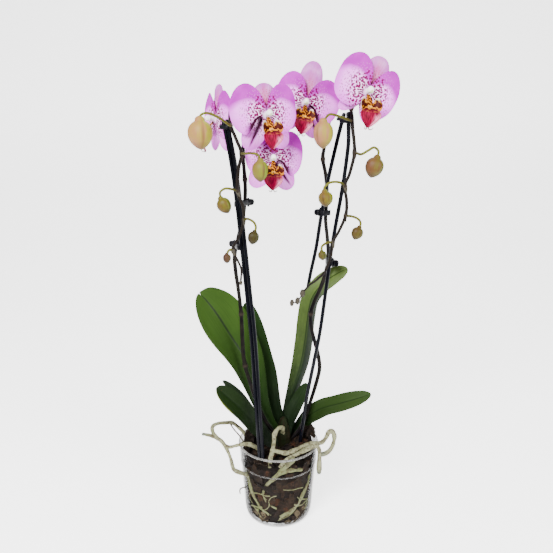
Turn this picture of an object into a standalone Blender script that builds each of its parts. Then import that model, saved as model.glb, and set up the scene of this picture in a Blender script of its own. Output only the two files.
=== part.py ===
"""A moth orchid in a clear nursery pot, with two flower stems that arch over and hang down in front.

Metres, +Z up. The origin is the middle of the pot's base, the plant faces -Y and +X is to its right.
Routes and sizes are listed in millimetres and turned into metres by metres().
"""

import math
import random

import bmesh
import bpy
import numpy as np
from mathutils import Euler, Matrix, Vector

# Clearance between neighbouring solids.
GAP = 0.0003

# The pot: a tapered clear cup with a rolled rim, a step under it and holes in its base.
POT_HEIGHT = 0.122
POT_WALL = 0.0014
POT_SIDES = 32
RIM_RADIUS = 0.0618
RIM_DEPTH = 0.0035
STEP_HEIGHT = 0.090
STEP_RADIUS = 0.0591
UNDER_STEP_RADIUS = 0.0579
FOOT_RADIUS = 0.0445
FOOT_CURVE = ((0.0483, 0.0011), (0.0506, 0.0043), (0.0521, 0.0103), (0.0529, 0.019))
DRAIN_HOLES = 6
DRAIN_RADIUS = 0.003
DRAIN_RING = 0.030

# The bark mix that fills the pot, higher at the back than at the front.
BARK_NEAR_STEP = 0.085
BARK_WALL_TOP = 0.103
BARK_MIDDLE_TOP = 0.108
BARK_RISE = 0.014
BARK_CHIPS = 20
BARK_SEED = 7
# Heaps of bark behind the crown: x, y, radius and height over the rest.
BARK_HEAPS = ((-0.024, 0.024, 0.020, 0.012), (0.025, 0.026, 0.018, 0.011), (0.002, 0.038, 0.015, 0.010))

# The plant.
CROWN_PLACE = (0.008, 0.008)
CROWN_RADII = (0.0105, 0.0115, 0.010, 0.006)
CROWN_HEIGHTS = (0.094, 0.115, 0.135, 0.150)
STAKE_RADIUS = 0.0025
RISING_RADIUS = 0.0027
HANGING_RADIUS = 0.0022
STEM_TIP_RADIUS = 0.0013
PEDICEL_RADIUS = 0.0018
LEAF_THICKNESS = 0.0024
PETAL_THICKNESS = 0.0011
PEDICEL_FIRST_RADIUS = 0.0022
PEDICEL_RINGS = 7
PEDICEL_SIDES = 5
ROUND_SIDES = 6


def metres(points):
    """The same points, from millimetres to metres."""
    return np.array(points, dtype=float) / 1000.0


# Stakes, from inside the bark to their tops.
STAKES = {
    "stake_left_front": [(-22, -38, 84), (-24, -35, 125), (-28, -31, 190), (-34, -24, 293), (-40, -20, 358),
                         (-47, -15, 430), (-54, -11, 500), (-61, -8, 552), (-70, -5, 600)],
    "stake_left_back": [(-27.2, -35.4, 84), (-29.2, -32.4, 125), (-33.2, -28.4, 190), (-39.2, -21.4, 293),
                        (-45.2, -17.4, 358), (-52.2, -12.4, 430), (-59.2, -8.4, 500), (-66.2, -5.4, 552),
                        (-75.2, -2.4, 600)],
    "stake_right_back": [(13, 33, 84), (16, 36, 118), (22, 40, 183), (30, 44, 230), (38, 44, 286),
                         (46, 42, 361), (56, 34, 418), (62, 24, 468), (70, 14, 520), (81, 5, 576),
                         (88.5, 1.2, 609)],
    "stake_right_front": [(30, 5, 84), (34, 3, 119), (38, 0, 150), (44, -2, 199), (53, -5, 253),
                          (61, -8, 302), (68, -10, 364), (75, -11, 427), (81, -11, 467), (88, -9, 510),
                          (93, -7, 550), (95, -6, 576), (93.7, -3.5, 610)],
}

# Flower stems: the part that rises, the arch, and the part that hangs down in front with the buds.
STEMS = {
    "left_flower_stem": [(4, 5, 125), (-8, 1.5, 135), (-19, 0, 151), (-29, -1.5, 174), (-37, -4, 199),
                         (-45, -5, 227), (-50, -4, 246), (-53, -2, 270), (-55, 0, 326), (-59, 4, 363),
                         (-63, 10, 390), (-64, 14, 412), (-58, 18, 441), (-51, 20, 470), (-48, 20, 497),
                         (-48, 19, 521), (-50, 20, 550), (-49, 22, 589), (-49, 19, 616), (-54, 11, 629),
                         (-61, -1, 625), (-65, -10, 610), (-64, -16, 594), (-57, -21, 577),
                         (-50, -23, 558), (-54, -23, 538), (-56, -24, 508), (-49, -24, 488),
                         (-48, -25, 469), (-54, -26, 447), (-64, -26, 428), (-57, -28, 413),
                         (-52, -29, 400), (-53, -29, 384)],
    "right_flower_stem": [(10, 8, 112), (22, 12, 119), (33, 13, 132), (42, 13, 154), (51, 13, 184),
                          (59, 14, 213), (63, 13, 236), (60, 12, 259), (54, 10, 282), (49, 9, 303),
                          (48, 9, 323), (53, 9, 342), (62, 10, 363), (69, 13, 385), (73, 16, 407),
                          (72, 22, 431), (69, 30, 462), (70, 31, 482), (70, 29, 507), (67, 27, 530),
                          (63, 25, 549), (65, 24, 568), (69, 24, 592), (76, 21, 616), (85, 13, 629),
                          (94, 1, 624), (98, -8, 609), (99, -14, 591), (102, -18, 560), (96, -20, 531),
                          (90, -20, 515), (93, -21, 494), (92, -21, 474), (83, -22, 452), (75, -23, 437),
                          (73, -24, 420), (66, -25, 398), (54, -23, 384), (44, -21, 376), (35, -19, 365)],
}
STEM_RINGS = 31
STAKE_RINGS = 10

# Heights of the swollen nodes, with "up" on the rising part and "down" on the hanging part.
STEM_NODES = {
    "left_flower_stem": [("up", 246), ("up", 326), ("up", 521), ("down", 558), ("down", 508), ("down", 469),
                         ("down", 428)],
    "right_flower_stem": [("up", 323), ("up", 549), ("down", 560), ("down", 515), ("down", 474),
                          ("down", 437)],
}

# The small undeveloped buds at the end of each hanging stem: place and radius.
TIP_BUDS = {
    "left_flower_stem": [((-53, -29, 381), 2.2)],
    "right_flower_stem": [((34, -19, 363), 3.6), ((27, -20, 352), 3.3), ((19, -20, 349), 2.9)],
}
TIP_TWIGS = {
    "right_flower_stem": [(36, -19, 367), (31, -19, 357), (26, -20, 351), (19, -20, 348)],
}

# Buds: the pedicel's route from its stem, the bud's lower tip, its widest radius and its stem.
BUDS = {
    "left_bud_1": ([(-64, -15, 596), (-62, -25, 594), (-65, -36, 595), (-76, -45, 603), (-90, -49, 609),
                    (-99, -50, 607), (-101, -50, 600)], (-100, -50, 563), 16.0),
    "left_bud_2": ([(-50, -23, 558), (-46, -34, 558), (-37, -45, 559), (-27, -52, 557), (-24, -52, 549)],
                   (-24, -52, 522), 10.4),
    "left_bud_3": ([(-56, -24, 508), (-63, -28, 511), (-72, -30, 512), (-79, -31, 507), (-78, -31, 498)],
                   (-68, -31, 479), 9.5),
    "left_bud_4": ([(-48, -25, 469), (-42, -30, 471), (-34, -33, 467), (-31, -33, 460), (-33, -33, 453)],
                   (-37, -33, 436), 7.6),
    "left_bud_5": ([(-64, -26, 428), (-69, -29, 427), (-72, -30, 421)], (-71.5, -30, 409), 5.6),
    "right_bud_1": ([(98.5, -12, 600), (91, -22, 602), (78, -29, 606), (66, -32, 608), (58, -32, 599)],
                    (58, -32, 564), 13.0),
    "right_bud_2": ([(102, -18, 560), (110, -23, 557), (119, -27, 562), (126.5, -28, 566),
                     (132.5, -28, 561), (131, -28, 552)], (123.5, -28, 526), 12.0),
    "right_bud_3": ([(90, -20, 515), (82, -25, 520), (70, -27, 520), (62, -28, 514), (62, -28, 507)],
                    (65, -28, 487), 9.8),
    "right_bud_4": ([(92, -21, 474), (100, -26, 474), (108, -29, 471), (112, -29, 465), (110, -29, 458)],
                    (104, -29, 442), 7.9),
    "right_bud_5": ([(75, -23, 437), (68, -27, 438), (60, -29, 433), (59.5, -29, 425)], (62, -29, 413),
                    5.9),
}

# Blooms: the hub, turn about Z, nod, roll and size; the lengths of the left petal, the right petal and
# the dorsal sepal; the length and half width of the right and the left lower sepal where they differ from
# the rest; the lip's roll; the stem, and the pedicel's route from behind the hub back to it.
BLOOMS = {
    "bloom_1": dict(hub=(-16.5, -44, 607), turn=22, nod=0, roll=-2, size=1.0, petals=(48.5, 42.5),
                    dorsal=39.5,
                    lip_roll=-2, stem="left_flower_stem",
                    pedicel=[(-24, -30, 608), (-34, -8, 613), (-44, 11, 617), (-49.5, 18, 617)]),
    "bloom_2": dict(hub=(36, 8, 624), turn=4, nod=0, roll=14, size=0.97, petals=(43.5, 49), dorsal=58.5,
                    lip_roll=10, stem="right_flower_stem",
                    pedicel=[(33, 22, 626), (42, 30, 621), (58, 30, 610), (72, 23, 603)]),
    "bloom_3": dict(hub=(-7.5, -13, 551), turn=3, nod=0, roll=4, size=0.96, petals=(40, 41.5), dorsal=47,
                    lip_roll=2, stem="left_flower_stem",
                    pedicel=[(-9, 0, 553), (-18, 12, 557), (-36, 19, 556), (-50, 20, 551)]),
    "bloom_4": dict(hub=(113.5, -32, 635.5), turn=12, nod=0, roll=28, size=1.05, petals=(44.5, 40),
                    dorsal=47, sepals=((38, 11), (39, 9)),
                    lip_roll=6, stem="right_flower_stem",
                    pedicel=[(108, -20, 631), (102, -12, 624), (97.5, -7, 613)]),
    "bloom_5": dict(hub=(-88.5, 44, 603.5), turn=-60, nod=0, roll=0, size=1.0, petals=(46.5, 46.5),
                    dorsal=49,
                    lip_roll=0, stem="left_flower_stem",
                    pedicel=[(-74, 49, 604), (-62, 41, 612), (-54, 28, 619), (-49.5, 20, 617)]),
}

# A bloom of size 1 in millimetres, facing -Y with its hub at the origin: half widths, the rise of a
# petal's middle line, how far forward each blade starts, how fast it bends back, and the lower sepals'
# lengths with their half widths and angles with their layers, the right one first.
PETAL_HALF = 32
PETAL_LIFT = 7
PETAL_LAYER = -2.4
PETAL_BEND = 0.0016
DORSAL_HALF = 17
DORSAL_LAYER = 2.0
SEPAL_SIZES = ((50, 15.5), (50, 15.5))
SEPAL_BEND = 0.0011
LOW_SEPALS = ((56, 1.5), (124, 3.3))

# The lip of that bloom: the middle lines and half widths of its front lobe and of one ear, and its callus.
LIP_THICKNESS = 0.0012
LIP_LOBE = [(0, -5.2, -3.0), (0, -10, -8), (0, -14.5, -14), (0, -18.5, -20), (0, -21, -26), (0, -21.5, -32),
            (0, -20.5, -38), (0, -18.5, -42.5)]
LIP_LOBE_HALVES = [2.2, 3.2, 4.2, 6.5, 13.0, 11.5, 6.5, 1.5]
LIP_EAR = [(2.5, -13.0, -16.5), (7.0, -15.0, -18.0), (10.5, -17.5, -14.5), (9.5, -19.5, -8.5)]
LIP_EAR_HALVES = [3.0, 5.0, 5.5, 1.5]
LIP_CALLUS = (0, -0.0165, -0.0175)
LIP_CALLUS_RADIUS = 0.0034

# Leaves: midrib, widest half width, half width at the base, the share of the length where it is widest,
# the fold of the two halves, the share where the tip starts to round, and where the upper face looks at
# the base and the tip.
LEAVES = {
    "leaf_1": dict(spine=[(2, 10, 128), (-14, 12, 146), (-28.5, 13, 180), (-40.5, 15, 219),
                          (-53.5, 16, 253.5), (-73, 18, 286), (-93, 20, 319), (-109, 21, 341),
                          (-120, 22, 352)],
                          half=39, base=8, belly=0.93, fold=0.45, rounding=0.70,
                          face=[(0.1, -1, 0.1), (0.42, -0.85, 0.32)]),
    "leaf_2": dict(spine=[(5, 14, 136), (-2, 18, 146), (-13, 24, 174), (-26, 30, 218), (-35, 36, 257),
                          (-42, 40, 297), (-48, 42, 333)],
                   half=25, base=12, belly=0.5, fold=0.12, rounding=0.38,
                   face=[(0, -1, 0.1), (-0.15, -0.97, 0.15)]),
    "leaf_3": dict(spine=[(1, 1, 113), (-14, -6, 123), (-30, -12, 146), (-46, -19, 171), (-60, -26, 190),
                          (-77, -34, 211), (-90, -40, 227)],
                   half=16, base=8, belly=0.6, fold=0.15, rounding=0.72,
                   face=[(-0.1, -0.8, 0.6), (0.3, -0.68, 0.67)]),
    "leaf_4": dict(spine=[(8, 17, 138), (17, 25, 172), (25, 28, 200), (35, 28, 239), (40.5, 27, 276),
                          (44, 26, 312), (49.5, 25, 342), (63, 24, 363), (82, 22, 379), (102, 18, 391)],
                   half=14, base=6, belly=0.45, fold=-0.45, rounding=0.84,
                   face=[(-0.1, -1, 0), (0.25, -0.9, 0.35)]),
    "leaf_5": dict(spine=[(13, 7, 128), (17, 10.5, 147), (24, 14, 167), (34, 17, 188), (44, 16, 209)],
                   half=10.5, base=7, belly=0.5, fold=-0.2, rounding=0.50,
                   face=[(0, -1, 0), (-0.3, -0.95, 0.1)]),
    "leaf_6": dict(spine=[(14, 13, 116), (27, 21, 126), (38, 21, 140), (51, 14, 157), (68, 3, 173),
                          (90, -12, 187.5), (115, -23, 201), (136, -30, 212)],
                          half=15, base=7, belly=0.55, fold=0.14, rounding=0.66,
                          face=[(0, -1, 0.15), (-0.2, -0.62, 0.76)]),
    "leaf_7": dict(spine=[(1, 3.5, 112), (-18, -1.5, 131), (-38, -3.5, 163), (-58, -7, 196),
                          (-74, -12, 217), (-83, -15, 227)],
                   half=8, base=6, belly=0.5, fold=0.1, rounding=0.6,
                   face=[(0, -0.9, 0.4), (0.3, -0.7, 0.6)]),
}

# Roots in the open air: every branch is a route and its two end radii; the branches of one root are one
# piece.
AIR_ROOTS = {
    "roots_left": [
        ([(-28, -13, 108), (-34, -21, 120), (-45, -30, 131), (-60, -38, 134), (-72, -40, 132),
          (-79, -40, 134)], 2.9, 2.7),
        ([(-43, -24, 72), (-51, -28.5, 79), (-62, -34, 87), (-68, -38, 95), (-72, -40, 115),
          (-78, -40, 131), (-86, -40, 143), (-99, -38, 149), (-112, -36, 151)], 3.3, 2.3),
        ([(-90, -39, 145), (-97, -35, 152), (-99, -25, 157), (-92, -15, 157), (-82, -8, 154.5),
          (-71, 0, 150), (-62, 6, 139), (-54, 8, 129), (-49, 8, 116), (-47, 8, 102)], 2.8, 2.5),
        ([(-76, -3, 153), (-68, -8, 143), (-60, -10, 134), (-52, -11, 120), (-49, -11, 104)], 1.0, 1.0),
    ],
    "roots_front": [
        ([(7, 0, 134), (6, -9, 146), (0, -19, 151), (-6, -28, 146), (-7, -34, 136), (-9, -40, 125),
          (-12, -44, 114), (-13, -45, 101)], 3.4, 3.0),
        ([(-9, -40, 127), (1, -45, 127), (13, -45, 125), (29, -38, 128), (44, -32, 132), (57, -28, 131),
          (66, -24, 131), (72.5, -20, 137), (76.5, -16, 143), (82, -13, 142.5), (85.5, -13, 135.5),
          (84, -16, 124), (78.5, -20, 115), (70.5, -25, 112), (63, -28, 112.5)], 3.3, 3.3),
        ([(3, -50, 106), (13, -48, 116), (29, -43, 123), (44, -37, 127.5), (54, -33, 129.5),
          (60, -31, 126), (62, -29.5, 116), (62, -28.5, 104), (62, -27.5, 92), (62, -26, 81)], 2.7, 3.5),
    ],
}
ROOT_SIDES = 6

# A thin root tip that pokes out of a small hole low in the pot's side.
ROOT_TIP = ([(-44, -16, 49), (-52, -19, 50.5), (-58, -21, 49.5), (-60, -21.5, 46), (-59.5, -21.5, 41)],
            1.1, 0.8)

# Roots that run between the bark and the clear wall: (degrees round the pot, height) along each, and the
# radius.
INNER_ROOT_SHIFT = 0.0006
INNER_ROOTS = {
    "inner_root_1": ([(-52, 96), (-68, 100), (-82, 99), (-96, 90), (-108, 76), (-116, 60), (-110, 44),
                      (-94, 34)], 3.4),
    "inner_root_2": ([(-22, 84), (-30, 66), (-40, 50), (-54, 36), (-70, 24), (-86, 21)], 2.8),
    "inner_root_3": ([(-146, 60), (-134, 42), (-120, 28), (-104, 22)], 2.6),
}

# Stem clips: the middle, half sizes, turn about Z, the finger tab's place, and the pieces that they hold.
CLIPS = {
    "clip_left_top": dict(at=(-71.8, -3.6, 592), half=(7.5, 5.2, 3.2), turn=-27, tab=(-78, 4, 594),
                          holds=("stake_left_front", "stake_left_back")),
    "clip_left_middle": dict(at=(-53, 7, 488), half=(15, 4.4, 4.2), turn=65, tab=(-41, 26, 488),
                             holds=("stake_left_back", "left_flower_stem")),
    "clip_left_low": dict(at=(-57.5, 3.5, 428), half=(18, 4.4, 4.2), turn=102, tab=(-67, 18, 428),
                          holds=("stake_left_back", "left_flower_stem")),
    "clip_right_middle": dict(at=(66.5, 27, 472), half=(9.5, 5.2, 4.4), turn=42, tab=(57, 18, 474),
                              holds=("stake_right_back", "right_flower_stem")),
    "clip_right_low": dict(at=(73.2, 2.5, 405), half=(18.5, 4.8, 4.6), turn=88, tab=(80, -10, 405),
                           holds=("stake_right_front", "right_flower_stem")),
    "clip_right_top": dict(at=(91.0, -1.1, 600.5), half=(8.2, 4.6, 3.4), turn=-45, tab=(82.5, 6, 603.5),
                           holds=("stake_right_front", "stake_right_back")),
}

# Each kind's colour and roughness.
COLOURS = {
    "pot": ((0.86, 0.88, 0.86), 0.15),
    "bark": ((0.06, 0.035, 0.02), 0.9),
    "crown": ((0.12, 0.16, 0.05), 0.6),
    "leaf": ((0.030, 0.085, 0.012), 0.35),
    "stem": ((0.035, 0.028, 0.020), 0.5),
    "stake": ((0.008, 0.008, 0.014), 0.25),
    "clip": ((0.012, 0.012, 0.018), 0.35),
    "bud": ((0.36, 0.33, 0.09), 0.5),
    "petals": ((0.78, 0.42, 0.75), 0.6),
    "lip": ((0.50, 0.02, 0.10), 0.5),
    "column": ((0.88, 0.80, 0.80), 0.5),
    "root": ((0.52, 0.53, 0.36), 0.7),
}


def clear_scene():
    """Removes every object that the opened file holds."""
    for obj in list(bpy.data.objects):
        bpy.data.objects.remove(obj, do_unlink=True)


def material_for(name, kind):
    """A plain material of the kind's colour and roughness, named for its piece."""
    colour, roughness = COLOURS[kind]
    material = bpy.data.materials.new(name + "_finish")
    material.use_nodes = True
    shader = material.node_tree.nodes["Principled BSDF"]
    shader.inputs["Base Color"].default_value = (*colour, 1.0)
    shader.inputs["Roughness"].default_value = roughness
    shader.inputs["Metallic"].default_value = 0.0
    return material


def add_solid(name, points, faces):
    """A mesh object of these points and faces, with every face turned outwards."""
    mesh = bpy.data.meshes.new(name)
    mesh.from_pydata([tuple(p) for p in points], [], faces)
    shape = bmesh.new()
    shape.from_mesh(mesh)
    bmesh.ops.recalc_face_normals(shape, faces=shape.faces)
    shape.to_mesh(mesh)
    shape.free()
    obj = bpy.data.objects.new(name, mesh)
    bpy.context.scene.collection.objects.link(obj)
    return obj


def finish(obj, kind):
    """Gives a piece its material and smooth shading up to 40 degrees."""
    obj.data.materials.clear()
    obj.data.materials.append(material_for(obj.name, kind))
    obj.data.shade_smooth()
    obj.data.set_sharp_from_angle(angle=math.radians(40))
    return obj


def boolean(target, others, operation, solver="EXACT"):
    """Joins the other solids to the target, or cuts them from it, and removes them."""
    group = bpy.data.collections.new("others")
    bpy.context.scene.collection.children.link(group)
    for other in others:
        group.objects.link(other)
    modifier = target.modifiers.new(operation, "BOOLEAN")
    modifier.operation = operation
    modifier.operand_type = "COLLECTION"
    modifier.collection = group
    modifier.solver = solver
    depsgraph = bpy.context.evaluated_depsgraph_get()
    mesh = bpy.data.meshes.new_from_object(target.evaluated_get(depsgraph))
    target.modifiers.clear()
    target.data = mesh
    for other in others:
        bpy.data.objects.remove(other, do_unlink=True)
    bpy.data.collections.remove(group)
    return target


def keep_largest_body(obj):
    """Drops the loose scraps that a cut leaves."""
    shape = bmesh.new()
    shape.from_mesh(obj.data)
    shape.verts.ensure_lookup_table()
    left = set(shape.verts)
    bodies = []
    while left:
        body = set()
        edge_of_body = [left.pop()]
        while edge_of_body:
            vertex = edge_of_body.pop()
            body.add(vertex)
            for edge in vertex.link_edges:
                other = edge.other_vert(vertex)
                if other in left:
                    left.remove(other)
                    edge_of_body.append(other)
        bodies.append(body)
    bodies.sort(key=len)
    for body in bodies[:-1]:
        bmesh.ops.delete(shape, geom=list(body), context="VERTS")
    shape.to_mesh(obj.data)
    shape.free()
    return obj


def smooth_route(points, count):
    """Points on a smooth curve through these: count of them evenly spaced, or at the shares in count."""
    points = np.asarray(points, dtype=float)
    ends = np.vstack([2 * points[0] - points[1], points, 2 * points[-1] - points[-2]])
    fine = []
    for a, b, c, d in zip(ends, ends[1:], ends[2:], ends[3:]):
        for t in np.linspace(0, 1, 12, endpoint=False):
            fine.append(0.5 * (2 * b + (c - a) * t + (2 * a - 5 * b + 4 * c - d) * t**2
                               + (3 * b - a - 3 * c + d) * t**3))
    fine.append(points[-1])
    fine = np.array(fine)
    lengths = np.concatenate([[0], np.cumsum(np.linalg.norm(np.diff(fine, axis=0), axis=1))])
    places = count if np.ndim(count) else np.linspace(0, 1, count)
    reached = np.array(places) * lengths[-1]
    return np.stack([np.interp(reached, lengths, fine[:, i]) for i in range(3)], axis=1)


def share_at_height(points, side, height):
    """How far along a stem, from 0 to 1, its rising or hanging part passes this height."""
    route = smooth_route(points, 400)
    top = int(np.argmax(route[:, 2]))
    part = slice(0, top) if side == "up" else slice(top, len(route))
    nearest = int(np.argmin(np.abs(route[part, 2] - height)))
    return (nearest + (0 if side == "up" else top)) / (len(route) - 1)


def turned_frames(route):
    """Two directions across the route at each point, turned as little as possible from one to the next."""
    tangents = np.gradient(route, axis=0)
    tangents /= np.linalg.norm(tangents, axis=1)[:, None]
    start = np.array([0.0, 1.0, 0.0]) if abs(tangents[0][1]) < 0.9 else np.array([1.0, 0.0, 0.0])
    across = []
    side = np.cross(tangents[0], start)
    for tangent in tangents:
        side = side - tangent * np.dot(side, tangent)
        side /= np.linalg.norm(side)
        across.append((side, np.cross(tangent, side)))
    return across


def tube(name, route, radii, sides=ROUND_SIDES):
    """A closed round bar along a route; radii has one value for each point of it."""
    points = []
    faces = []
    for centre, (u, v), radius in zip(route, turned_frames(route), radii):
        for i in range(sides):
            angle = 2 * math.pi * i / sides
            points.append(centre + radius * (math.cos(angle) * u + math.sin(angle) * v))
    for ring in range(len(route) - 1):
        for i in range(sides):
            a = ring * sides + i
            b = ring * sides + (i + 1) % sides
            faces.append((a, b, b + sides, a + sides))
    last = (len(route) - 1) * sides
    faces.append(tuple(range(sides))[::-1])
    faces.append(tuple(range(last, last + sides)))
    return add_solid(name, points, faces)


def sheet(name, middle, thickness):
    """A closed blade round a grid of points, with the same triangles on both of its faces."""
    rows, columns = middle.shape[:2]
    along = np.gradient(middle, axis=0)
    across = np.gradient(middle, axis=1)
    normal = np.cross(along, across)
    normal /= np.linalg.norm(normal, axis=2)[:, :, None]
    half = 0.5 * thickness[:, :, None] * normal
    points = np.concatenate([(middle + half).reshape(-1, 3), (middle - half).reshape(-1, 3)])
    under = rows * columns
    faces = []
    for r in range(rows - 1):
        for c in range(columns - 1):
            a = r * columns + c
            b = a + 1
            d = a + columns
            e = d + 1
            for one, two, three in ((a, d, e), (a, e, b)):
                faces.append((one, two, three))
                faces.append((under + three, under + two, under + one))
    rim = list(range(columns))
    rim += [r * columns + columns - 1 for r in range(1, rows)]
    rim += [(rows - 1) * columns + c for c in range(columns - 2, -1, -1)]
    rim += [r * columns for r in range(rows - 2, 0, -1)]
    for one, two in zip(rim, rim[1:] + rim[:1]):
        faces.append((one, two, under + two, under + one))
    return add_solid(name, points, faces)


def revolve(name, profile, sides):
    """A solid turned about Z from (radius, height) points that start and end on the axis."""
    points = [(0.0, 0.0, profile[0][1])]
    for radius, height in profile[1:-1]:
        for i in range(sides):
            angle = 2 * math.pi * i / sides
            points.append((radius * math.cos(angle), radius * math.sin(angle), height))
    points.append((0.0, 0.0, profile[-1][1]))
    faces = []
    for i in range(sides):
        j = (i + 1) % sides
        faces.append((0, 1 + j, 1 + i))
        for ring in range(len(profile) - 3):
            base = 1 + ring * sides
            faces.append((base + i, base + j, base + sides + j, base + sides + i))
        last = 1 + (len(profile) - 3) * sides
        faces.append((last + i, last + j, len(points) - 1))
    return add_solid(name, points, faces)


def even_radii(first, last, count):
    """Radii that change evenly from the first to the last."""
    return np.linspace(first, last, count)


def wall_radius(height):
    """The radius of the pot's inner face at a height, a little under its true value in the rounded foot."""
    heights = [FOOT_CURVE[-1][1], STEP_HEIGHT, POT_HEIGHT]
    radii = [FOOT_CURVE[-1][0], UNDER_STEP_RADIUS, STEP_RADIUS]
    return np.interp(height, heights, radii) - POT_WALL


def pot_profile():
    """The pot's outer side from the axis up to its rim, then its inner side back down to the axis."""
    outer = [(0.0, 0.0), (FOOT_RADIUS, 0.0), *FOOT_CURVE, (UNDER_STEP_RADIUS, STEP_HEIGHT - 0.0015),
             (STEP_RADIUS, STEP_HEIGHT), (STEP_RADIUS + 0.0014, POT_HEIGHT - RIM_DEPTH),
             (RIM_RADIUS, POT_HEIGHT - RIM_DEPTH + 0.0008), (RIM_RADIUS, POT_HEIGHT - 0.0007),
             (RIM_RADIUS - 0.0007, POT_HEIGHT)]
    inner = [(STEP_RADIUS + 0.0002, POT_HEIGHT), (STEP_RADIUS - POT_WALL, STEP_HEIGHT + 0.001),
             (UNDER_STEP_RADIUS - POT_WALL, STEP_HEIGHT - 0.001)]
    inner += [(radius - POT_WALL, height + 0.0002) for radius, height in reversed(FOOT_CURVE[1:])]
    inner += [(FOOT_CURVE[0][0] - 0.002, 0.0026), (FOOT_RADIUS - 0.001, POT_WALL), (0.0, POT_WALL)]
    return outer, inner


def make_pot(holes):
    """The clear pot, with drainage holes in a ring and the holes that roots come out of."""
    outer, inner = pot_profile()
    pot = revolve("pot", outer + inner, POT_SIDES)
    cutters = []
    for i in range(DRAIN_HOLES):
        angle = 2 * math.pi * (i + 0.5) / DRAIN_HOLES
        x = DRAIN_RING * math.cos(angle)
        y = DRAIN_RING * math.sin(angle)
        route = np.array([(x, y, -0.003), (x, y, 0.005)])
        cutters.append(tube("drain", route, [DRAIN_RADIUS] * 2))
    boolean(pot, cutters + holes, "DIFFERENCE")
    return finish(pot, "pot")


def bark_top(x, y):
    """The height of the bark's surface: low in front, high behind, with humps beside the crown."""
    back = min(max((y + 0.030) / 0.060, 0.0), 1.0)
    return BARK_MIDDLE_TOP + BARK_RISE * back * (0.6 + 0.4 * min(abs(x) / 0.035, 1.0))


def chip(rng, index):
    """One bark chip: a box with uneven corners, lying at a random tilt on the bark."""
    angle = 2.4 * index
    distance = 0.043 * math.sqrt((index + 0.5) / BARK_CHIPS)
    x = distance * math.cos(angle)
    y = distance * math.sin(angle)
    half = (rng.uniform(0.006, 0.0095), rng.uniform(0.0035, 0.006), rng.uniform(0.0018, 0.0034))
    turn = Euler((rng.uniform(-0.6, 0.6), rng.uniform(-0.6, 0.6), rng.uniform(0, math.pi))).to_matrix()
    centre = Vector((x, y, bark_top(x, y) + rng.uniform(-0.001, 0.0025)))
    corners = []
    for sx in (-1, 1):
        for sy in (-1, 1):
            for sz in (-1, 1):
                pull = rng.uniform(0.7, 1.0)
                corner = Vector((sx * half[0] * pull, sy * half[1] * pull, sz * half[2]))
                corners.append(centre + turn @ corner)
    faces = [(0, 1, 3, 2), (4, 6, 7, 5), (0, 4, 5, 1), (2, 3, 7, 6), (0, 2, 6, 4), (1, 5, 7, 3)]
    return add_solid("chip", corners, faces)


def make_bark(cutters):
    """The bark mix: a filling of the pot's inside with chips standing out of its top, and plain holes."""
    _, inner = pot_profile()
    wall = [(r - GAP, z + GAP) for r, z in reversed(inner[3:-1])]
    profile = [(0.0, POT_WALL + GAP), *wall, (wall_radius(BARK_NEAR_STEP) - 2 * GAP, BARK_NEAR_STEP),
               (wall_radius(BARK_NEAR_STEP) + GAP, BARK_WALL_TOP), (0.046, BARK_MIDDLE_TOP),
               (0.0, BARK_MIDDLE_TOP)]
    bark = revolve("bark", profile, POT_SIDES)
    mound = []
    for x, y, width, height in BARK_HEAPS:
        heap = revolve("heap", [(0.0, 0.095), (width, 0.100), (width, BARK_MIDDLE_TOP),
                                (0.75 * width, 0.106 + height), (0.0, 0.108 + height)], 9)
        heap.data.transform(Matrix.Translation((x, y, 0)))
        mound.append(heap)
    rng = random.Random(BARK_SEED)
    boolean(bark, mound + [chip(rng, i) for i in range(BARK_CHIPS)], "UNION")
    for cutter in cutters:
        boolean(bark, [cutter], "DIFFERENCE")
    keep_largest_body(bark)
    return finish(bark, "bark")


def crown(name="crown", grow=0.0):
    """The short stub that the leaves, stems and roots spring from."""
    route = np.array([(*CROWN_PLACE, height) for height in CROWN_HEIGHTS])
    return tube(name, route, [radius + grow for radius in CROWN_RADII], 10)


def leaf_blade(name, form, grow=0.0):
    """One strap leaf: narrow at its base, widest past the middle and folded along the midrib."""
    rows = 11
    shares = 1 - (1 - np.linspace(0, 1, rows)) ** 1.4
    spine = smooth_route(metres(form["spine"]), shares)
    widen = np.clip(shares / form["belly"], 0, 1)
    widen = widen * widen * (3 - 2 * widen)
    half = form["base"] + (form["half"] - form["base"]) * widen
    past = np.clip((shares - form["rounding"]) / (1 - form["rounding"]), 0, 1)
    half = np.maximum(half * np.sqrt(np.maximum(1 - past**2.2, 0)), 2.2) / 1000 + grow
    base_face, tip_face = np.array(form["face"], dtype=float)
    tangents = np.gradient(spine, axis=0)
    across = np.linspace(-1, 1, 5)
    middle = np.zeros((rows, len(across), 3))
    for r in range(rows):
        face = base_face + (tip_face - base_face) * min(1.0, 1.6 * shares[r])
        side = np.cross(tangents[r], face)
        side /= np.linalg.norm(side)
        up = np.cross(side, tangents[r])
        up /= np.linalg.norm(up)
        for c, v in enumerate(across):
            middle[r, c] = spine[r] + half[r] * (v * side + form["fold"] * abs(v) ** 1.4 * up)
    thick = LEAF_THICKNESS * (1 - 0.55 * np.abs(across) ** 1.5)
    thickness = np.repeat(thick[None, :], rows, axis=0) * (1 - 0.4 * shares[:, None]) + 2 * grow
    return sheet(name, middle, thickness)


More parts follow.
